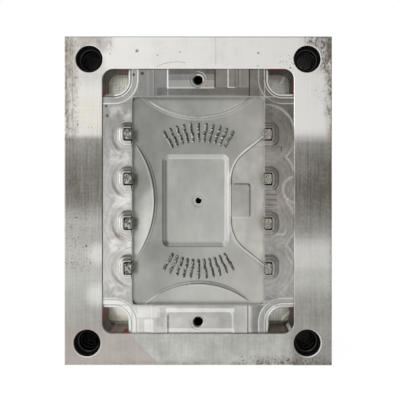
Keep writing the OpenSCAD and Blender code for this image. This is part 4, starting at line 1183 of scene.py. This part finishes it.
# %% [markdown]
# ## Skin of the cavity
#
# The cavity floor was polished by hand over the cutter's steps, which left each facet with a
# slightly raised rim and a soft shoulder at its foot. Distances give all of it: circles for
# three facets, circle and tangent for the right one, rounded boxes for the panel and the pad.

# %% Outlines in the cavity
FLOOR_W, PANEL_W, FACET_RISE = -6.5, -9.0, 2.0
HALF_X, HALF_U = 64.5, 101.5
ROUND_FACETS = (
    ("x", -1, HALF_X, 21.0, 118.0),
    ("u", 1, HALF_U, 19.0, 104.0),
    ("u", -1, HALF_U, 20.0, 104.0),
)
NOSE_REACH = 33.0
TANGENT = np.radians(128.6)
PANEL_BOX, PANEL_X = (32.75, 45.5, 6.5), -2.75
PAD_BOX, PAD_X = (8.5, 16.0, 2.0), 41.5
print("round facets", len(ROUND_FACETS))


# %% Distance into a facet and its height


def round_facet(x, u, axis, sign, edge, reach, chord):
    """Distance into a facet whose outline is a circle over a chord, and its plane's height."""
    outwards, across = (sign * x, u) if axis == "x" else (sign * u, x)
    radius = (chord**2 / 4 + reach**2) / (2 * reach)
    into = radius - np.hypot(outwards - (edge - reach + radius), across)
    return into, FLOOR_W + FACET_RISE * np.clip((edge - outwards) / reach, 0, 1.2)


def nose_facet(x, u):
    """Distance into the right facet: a circle at each end of its flat nose, with a straight
    side from where the circle's normal is at the tangent angle."""
    across, along = NOSE_X + NOSE_R - x, np.abs(u) - NOSE_HALF
    radial = np.hypot(across, np.maximum(along, 0)) - NOSE_R
    straight = -np.cos(TANGENT) * across + np.sin(TANGENT) * along - NOSE_R
    beyond = along > -np.tan(TANGENT) * across
    into = -np.where(beyond, straight, radial)
    return into, FLOOR_W + FACET_RISE * np.clip((HALF_X - x) / NOSE_REACH, 0, 1.1)


print("the nose reaches x", HALF_X - NOSE_REACH)


# %% Height of the cavity floor

def rim_over(into, top, base):
    """A facet's side: a shoulder 0.4 high that starts 3.1 outside, then the wall over the
    last 1.5, then a rim 0.45 high along the edge."""
    share = np.clip((top - base) / FACET_RISE, 0, 1)
    shoulder = 0.42 * soft_step(into + 3.1, 0.9) * share
    wall = (top - base) * soft_step(into + 1.5, 1.5)
    rim = 0.45 * np.exp(-(((into - 0.3) / 0.75) ** 2)) * np.sqrt(share)
    return np.maximum(shoulder, wall) + rim


def cavity_height(x, u):
    """Floor, facets, pad and panel, with the polisher's faint waves over them."""
    height = np.full(np.shape(x), FLOOR_W)
    for facet in ROUND_FACETS:
        into, top = round_facet(x, u, *facet)
        height = height + rim_over(into, top, FLOOR_W)
    into, top = nose_facet(x, u)
    height = height + rim_over(into, top, FLOOR_W)
    pad = -rounded_box_distance(x - PAD_X, u, *PAD_BOX)
    height = height + 0.72 * soft_step(pad + 1.2, 1.3)
    depth = -rounded_box_distance(x - PANEL_X, u, *PANEL_BOX)
    stages = 0.75 * soft_step(depth - 0.35, 0.9) + 1.62 * np.clip((depth - 1.9) / 2.6, 0, 1)
    lip = 0.16 * np.exp(-(((depth + 0.9) / 0.8) ** 2))
    waves = 0.05 * rough_noise(51, x * 1.3, u * 0.8, 9, 3) + 0.05 * rough_noise(55, x, u, 24, 2)
    height = height - stages + lip + waves + 0.13
    near_bush = soft_step(np.hypot(x, u) - 6.0, 5.0)
    return height * near_bush + (PANEL_W + 0.02) * (1 - near_bush)


def in_cavity(x, u):
    """Above zero inside the cavity's rounded outline and outside the sprue bush."""
    outline = rounded_box_distance(x, u, 65.4, 102.2, 4.2)
    return np.minimum(-outline, np.hypot(x, u) - 6.1)


print("the floor's corner lies at", cavity_height(-60.0, 98.0).round(2), "mm")

# %% Make the cavity skin
CAVITY_STEP, CAVITY_BACK = 0.75, -9.6
CAVITY_RANGES = (-64.5, 64.5), (-102.0, 102.0)
slab("cavity_skin", *CAVITY_RANGES, CAVITY_STEP, cavity_height, CAVITY_BACK, insert, in_cavity)

# %% [markdown]
# ## Spark-eroded ribs
#
# Each vent rib is a bead with a broken crest, in two halves that don't quite line up. A bead
# is rings carried along a radius from the sprue: half an ellipse above the cavity floor, and a
# flat one sunk below it. The ends close to a point.

# %% Beads of the vent fans
RING_POINTS, RING_COUNT = 20, 72


def bead(index, sign, seed):
    """Rings along s from 0 to 1. Each ring is a squarish loop: sideways b |cos|^0.5 with the
    sign of cos, up h |sin|^0.5 above the floor, and 0.4 sin below it. The crest factor breaks
    the height, the flank noise the width, and both shrink to a point at the ends."""
    s = np.linspace(0, 1, RING_COUNT)[:, None]
    turn = np.linspace(0, 2 * np.pi, RING_POINTS, endpoint=False)[None, :]
    cos, sin = np.cos(turn), np.sin(turn)
    outer = soft_step(s - 0.46, 0.08)
    rise = 2.85 + (2.15 - 2.85) * outer
    ends = np.sqrt(np.clip(1 - np.abs(2 * s - 1) ** 14, 0, 1))
    crest = 0.9 + (0.26 + 0.08 * sign) * rough_noise(seed, s * 19.5, 0 * s, 1.6, 3)
    flank = 0.26 * rough_noise(seed + 3, s * 19.5 + 0 * turn, 3 * cos + 0 * s, 1.1, 2)
    jog = (index - 5) / max(abs(index - 5), 1) * 0.9 * outer
    jog = jog + 0.25 * rough_noise(seed + 6, s * 19.5, 0 * s, 3.5, 2)
    sideways = jog + (1.6 + flank) * ends * np.sign(cos) * np.abs(cos) ** 0.5
    up = np.where(sin > 0, rise * crest * np.abs(sin) ** 0.5, 0.4 * sin)
    radius = 57.4 + 19.7 * s + 0 * turn
    angle = np.radians((index - 5) * 5.2)
    x = radius * np.sin(angle) + sideways * np.cos(angle)
    u = radius * np.cos(angle) - sideways * np.sin(angle)
    return to_world(x, sign * u, FLOOR_W + up * ends)


print("points in a bead", len(bead(0, 1, 101)))


# %% Faces over rings
def tube_faces(rings, around, start, flip):
    """Quads between neighbouring rings, and a fan of one face over each end ring."""
    i = np.arange(rings - 1)[:, None] * around + start
    j, k = np.arange(around)[None, :], (np.arange(around)[None, :] + 1) % around
    quads = np.stack([i + j, i + around + j, i + around + k, i + k], -1).reshape(-1, 4)
    caps = [np.arange(around) + start, (np.arange(around) + start + (rings - 1) * around)[::-1]]
    faces = [list(q) for q in quads.tolist()] + [cap.tolist() for cap in caps]
    return [face[::-1] for face in faces] if flip else faces


print("faces over a bead", len(tube_faces(RING_COUNT, RING_POINTS, 0, False)))

# %% [markdown]
# Eleven beads make a fan, and the lower fan is the upper one mirrored. A mirror turns every
# face inside out, so the order of its corners is turned back.

# %% Make the vent fans
for fan, sign in (("upper", 1), ("lower", -1)):
    points, faces = [], []
    for index in range(11):
        faces += tube_faces(RING_COUNT, RING_POINTS, index * RING_COUNT * RING_POINTS, sign < 0)
        points.append(bead(index, sign, 100 + 20 * index + sign))
    add_piece(f"vent_beads_{fan}", np.concatenate(points), faces, insert)

# %% [markdown]
# ## Rough formers
#
# The blocks that shape the clip holes were eroded too, and their tops are cratered. Each is a
# boxy ring, a superellipse, carried up the block and then in to the middle of its top. Two
# layers of noise push the flanks in and out and dig the craters.


# %% Former block
FLANK_RINGS, TOP_RINGS, BLOCK_POINTS = 30, 16, 72


def former_block(centre_x, centre_u, seed):
    """Rings r(angle) = (|cos/a|^5 + |sin/b|^5)^(-1/5), first up the flank and then inwards."""
    turn = np.linspace(0, 2 * np.pi, BLOCK_POINTS, endpoint=False)[None, :]
    up = np.concatenate([np.linspace(-8.0, 7.0, FLANK_RINGS), np.full(TOP_RINGS, 7.3)])[:, None]
    inward = np.concatenate([np.ones(FLANK_RINGS), np.linspace(0.96, 0.05, TOP_RINGS)])[:, None]
    outline = (np.abs(np.cos(turn) / 3.95) ** 5 + np.abs(np.sin(turn) / 5.7) ** 5) ** -0.2
    x, u = outline * inward * np.cos(turn), outline * inward * np.sin(turn)
    flank = 0.32 * rough_noise(seed, 4 * turn + 0 * up, up + 0 * turn, 1.7, 3)
    grow = 1 + flank * inward / outline
    crater = rough_noise(seed + 4, x, u, 2.4, 3)
    top = up + np.where(inward < 1, 0.9 * crater - 0.3, 0.6 * crater * soft_step(up - 5, 2))
    lean = 1 - 0.01 * (up + 8.0)
    x, u = x * grow * lean, u * grow * lean
    if centre_x > 0:
        x = np.where(up > FLOOR_W + 0.3, np.maximum(x, -2.7 + 0.3 * flank), x)
    return to_world(centre_x + x, centre_u + u, np.minimum(top, 7.98))


print("points in a block", len(former_block(0, 0, 300)))

# %% Make the formers
block_faces = tube_faces(FLANK_RINGS + TOP_RINGS, BLOCK_POINTS, 0, True)
for side_name, sign in (("left", -1), ("right", 1)):
    for number, port_u in enumerate(PORTS_U, 1):
        name = f"port_former_{side_name}_{number}"
        points = former_block(sign * FORMER_X, port_u, 300 + 10 * number + sign)
        block = add_piece(f"rough_{name}", points, block_faces, former)
        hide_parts(name)

# %% [markdown]
# ## Floor, world and lights
#
# The floor and the world are white to the camera, with a faint shadow left under the object.
# Steel shows only what it mirrors, so the world has a soft gradient for glossy rays: bright
# in front and on the left, dim on the right and overhead. That is what makes each little
# slope read, light on one side and dark on the other.

# %% Floor
FLOOR_HALF, FLOOR_GLOW = 6.0, 1.2
floor_mesh = bpy.data.meshes.new("floor")
corners = np.array([[-1, -1], [1, -1], [1, 1], [-1, 1]]) * FLOOR_HALF
floor_mesh.from_pydata([(x, y, 0.0) for x, y in corners], [], [(0, 1, 2, 3)])
floor = in_scene("floor", floor_mesh)
pale = Finish("pale_floor", 0.9, 0.0)
pale.set("Base Color", (0.9, 0.9, 0.9, 1))
floor_mesh.materials.append(pale.material)
print("floor", 2 * FLOOR_HALF, "m wide")

# %% White floor with a shadow
to_camera, to_gloss = pale.ray("Is Camera Ray"), pale.ray("Is Glossy Ray")
far = pale.node("ShaderNodeVectorMath", {"operation": "LENGTH"}, {0: pale.place}, "Value")
strength = to_camera * far.ramp(0.5, 2.0, FLOOR_GLOW, 1.0)
strength = strength + to_gloss * pale.x.ramp(-700, 700, 1.05, 0.78)
glow = pale.node("ShaderNodeEmission", {}, {"Color": (1, 1, 1, 1), "Strength": strength})
share = to_camera * far.ramp(0.5, 2.0, 0.75, 1.0) + to_gloss
lit = Value(pale, pale.shader.outputs[0])
shown = pale.node("ShaderNodeMixShader", {}, {0: share, 1: lit, 2: glow})
pale.tree.links.new(shown.socket, pale.tree.nodes["Material Output"].inputs["Surface"])
print("nodes in the floor", len(pale.tree.nodes))

# %% [markdown]
# A world of one white would light the mould flat. The direction of a ray tells where it
# looks, so ramps over its x and z dim the right and the top for glossy rays only, and the
# camera still sees plain white.

# %% World
LOWER_LEFT_LEVEL, DIFFUSE_LEVEL = 1.05, 0.45
studio = bpy.data.worlds.new("studio")
bpy.context.scene.world = studio
sky = Tree(studio)
to_right, _, to_top = sky.parts(sky.node("ShaderNodeTexCoord", {}, {}, "Generated"))
camera_ray, glossy_ray = sky.ray("Is Camera Ray"), sky.ray("Is Glossy Ray")
mirrored = LOWER_LEFT_LEVEL - to_right.ramp(-0.45, 0.45) * 0.2
mirrored = mirrored - to_top.ramp(-0.45, 0.45) * 0.24
mirrored = mirrored - to_right.ramp(0.5, 0.9) * 0.25 - to_top.ramp(0.5, 0.9) * 0.2
mirrored = (mirrored + to_right.ramp(-0.5, -0.9) * 0.3).at_least(0.15)
brightness = camera_ray + glossy_ray * mirrored + (1 - camera_ray - glossy_ray) * DIFFUSE_LEVEL
background = sky.tree.nodes["Background"]
background.inputs["Color"].default_value = (1, 1, 1, 1)
sky.tree.links.new(brightness.socket, background.inputs["Strength"])
print("nodes in the world", len(sky.tree.nodes))

# %% [markdown]
# Two softboxes give the shadow its direction, one above in front and a small one on the left.
# A small sharp lamp would put hot spots on every polished edge; a large face doesn't.

# %% Softboxes
CENTRE = Vector((0, 0, 0.16))


def softbox(name, place, size, radiance):
    """An area lamp aimed at the mould's middle. Its power in watts is pi times the radiance
    that its face shows, times the area of that face."""
    lamp = bpy.data.lights.new(name, "AREA")
    lamp.shape, lamp.size, lamp.size_y = "RECTANGLE", *size
    lamp.energy = math.pi * radiance * size[0] * size[1]
    stand = in_scene(name, lamp)
    stand.location = place
    stand.rotation_euler = (CENTRE - Vector(place)).to_track_quat("-Z", "Y").to_euler()
    print(name, "softbox", round(lamp.energy, 2), "W")


softbox("above", (-0.5, -1.0, 1.5), (1.2, 1.2), 1.0)
softbox("left", (-1.3, -0.2, 0.4), (0.7, 0.9), 0.8)

# %% [markdown]
# ## Camera
#
# The photo was taken close by, square on the face but from right of and above its middle. A
# camera turned towards the middle would tilt the plate's edges. One that looks straight along
# y and is shifted keeps them upright, as the real one did.

# %% Camera
FRAME_MM, DISTANCE, SENSOR = 388.4, 480.0, 36
FOOT, SEEN_MIDDLE = (17.0, 24.0), (1.75, 1.0)
lens = bpy.data.cameras.new("camera")
camera = in_scene("camera", lens)
bpy.context.scene.camera = camera
lens.sensor_width = SENSOR
lens.lens = SENSOR * DISTANCE / FRAME_MM
lens.shift_x, lens.shift_y = ((SEEN_MIDDLE[k] - FOOT[k]) / FRAME_MM for k in (0, 1))
camera.location = (FOOT[0] * MM, (FACE_Y - DISTANCE) * MM, (MIDDLE_Z + FOOT[1]) * MM)
camera.rotation_euler = (math.pi / 2, 0, 0)
print("lens", round(lens.lens, 1), "mm")

# %% [markdown]
# The Standard view shows the levels as they were set, where a filmic one would grey the white
# ground.

# %% Finish
bpy.context.scene.view_settings.view_transform = "Standard"
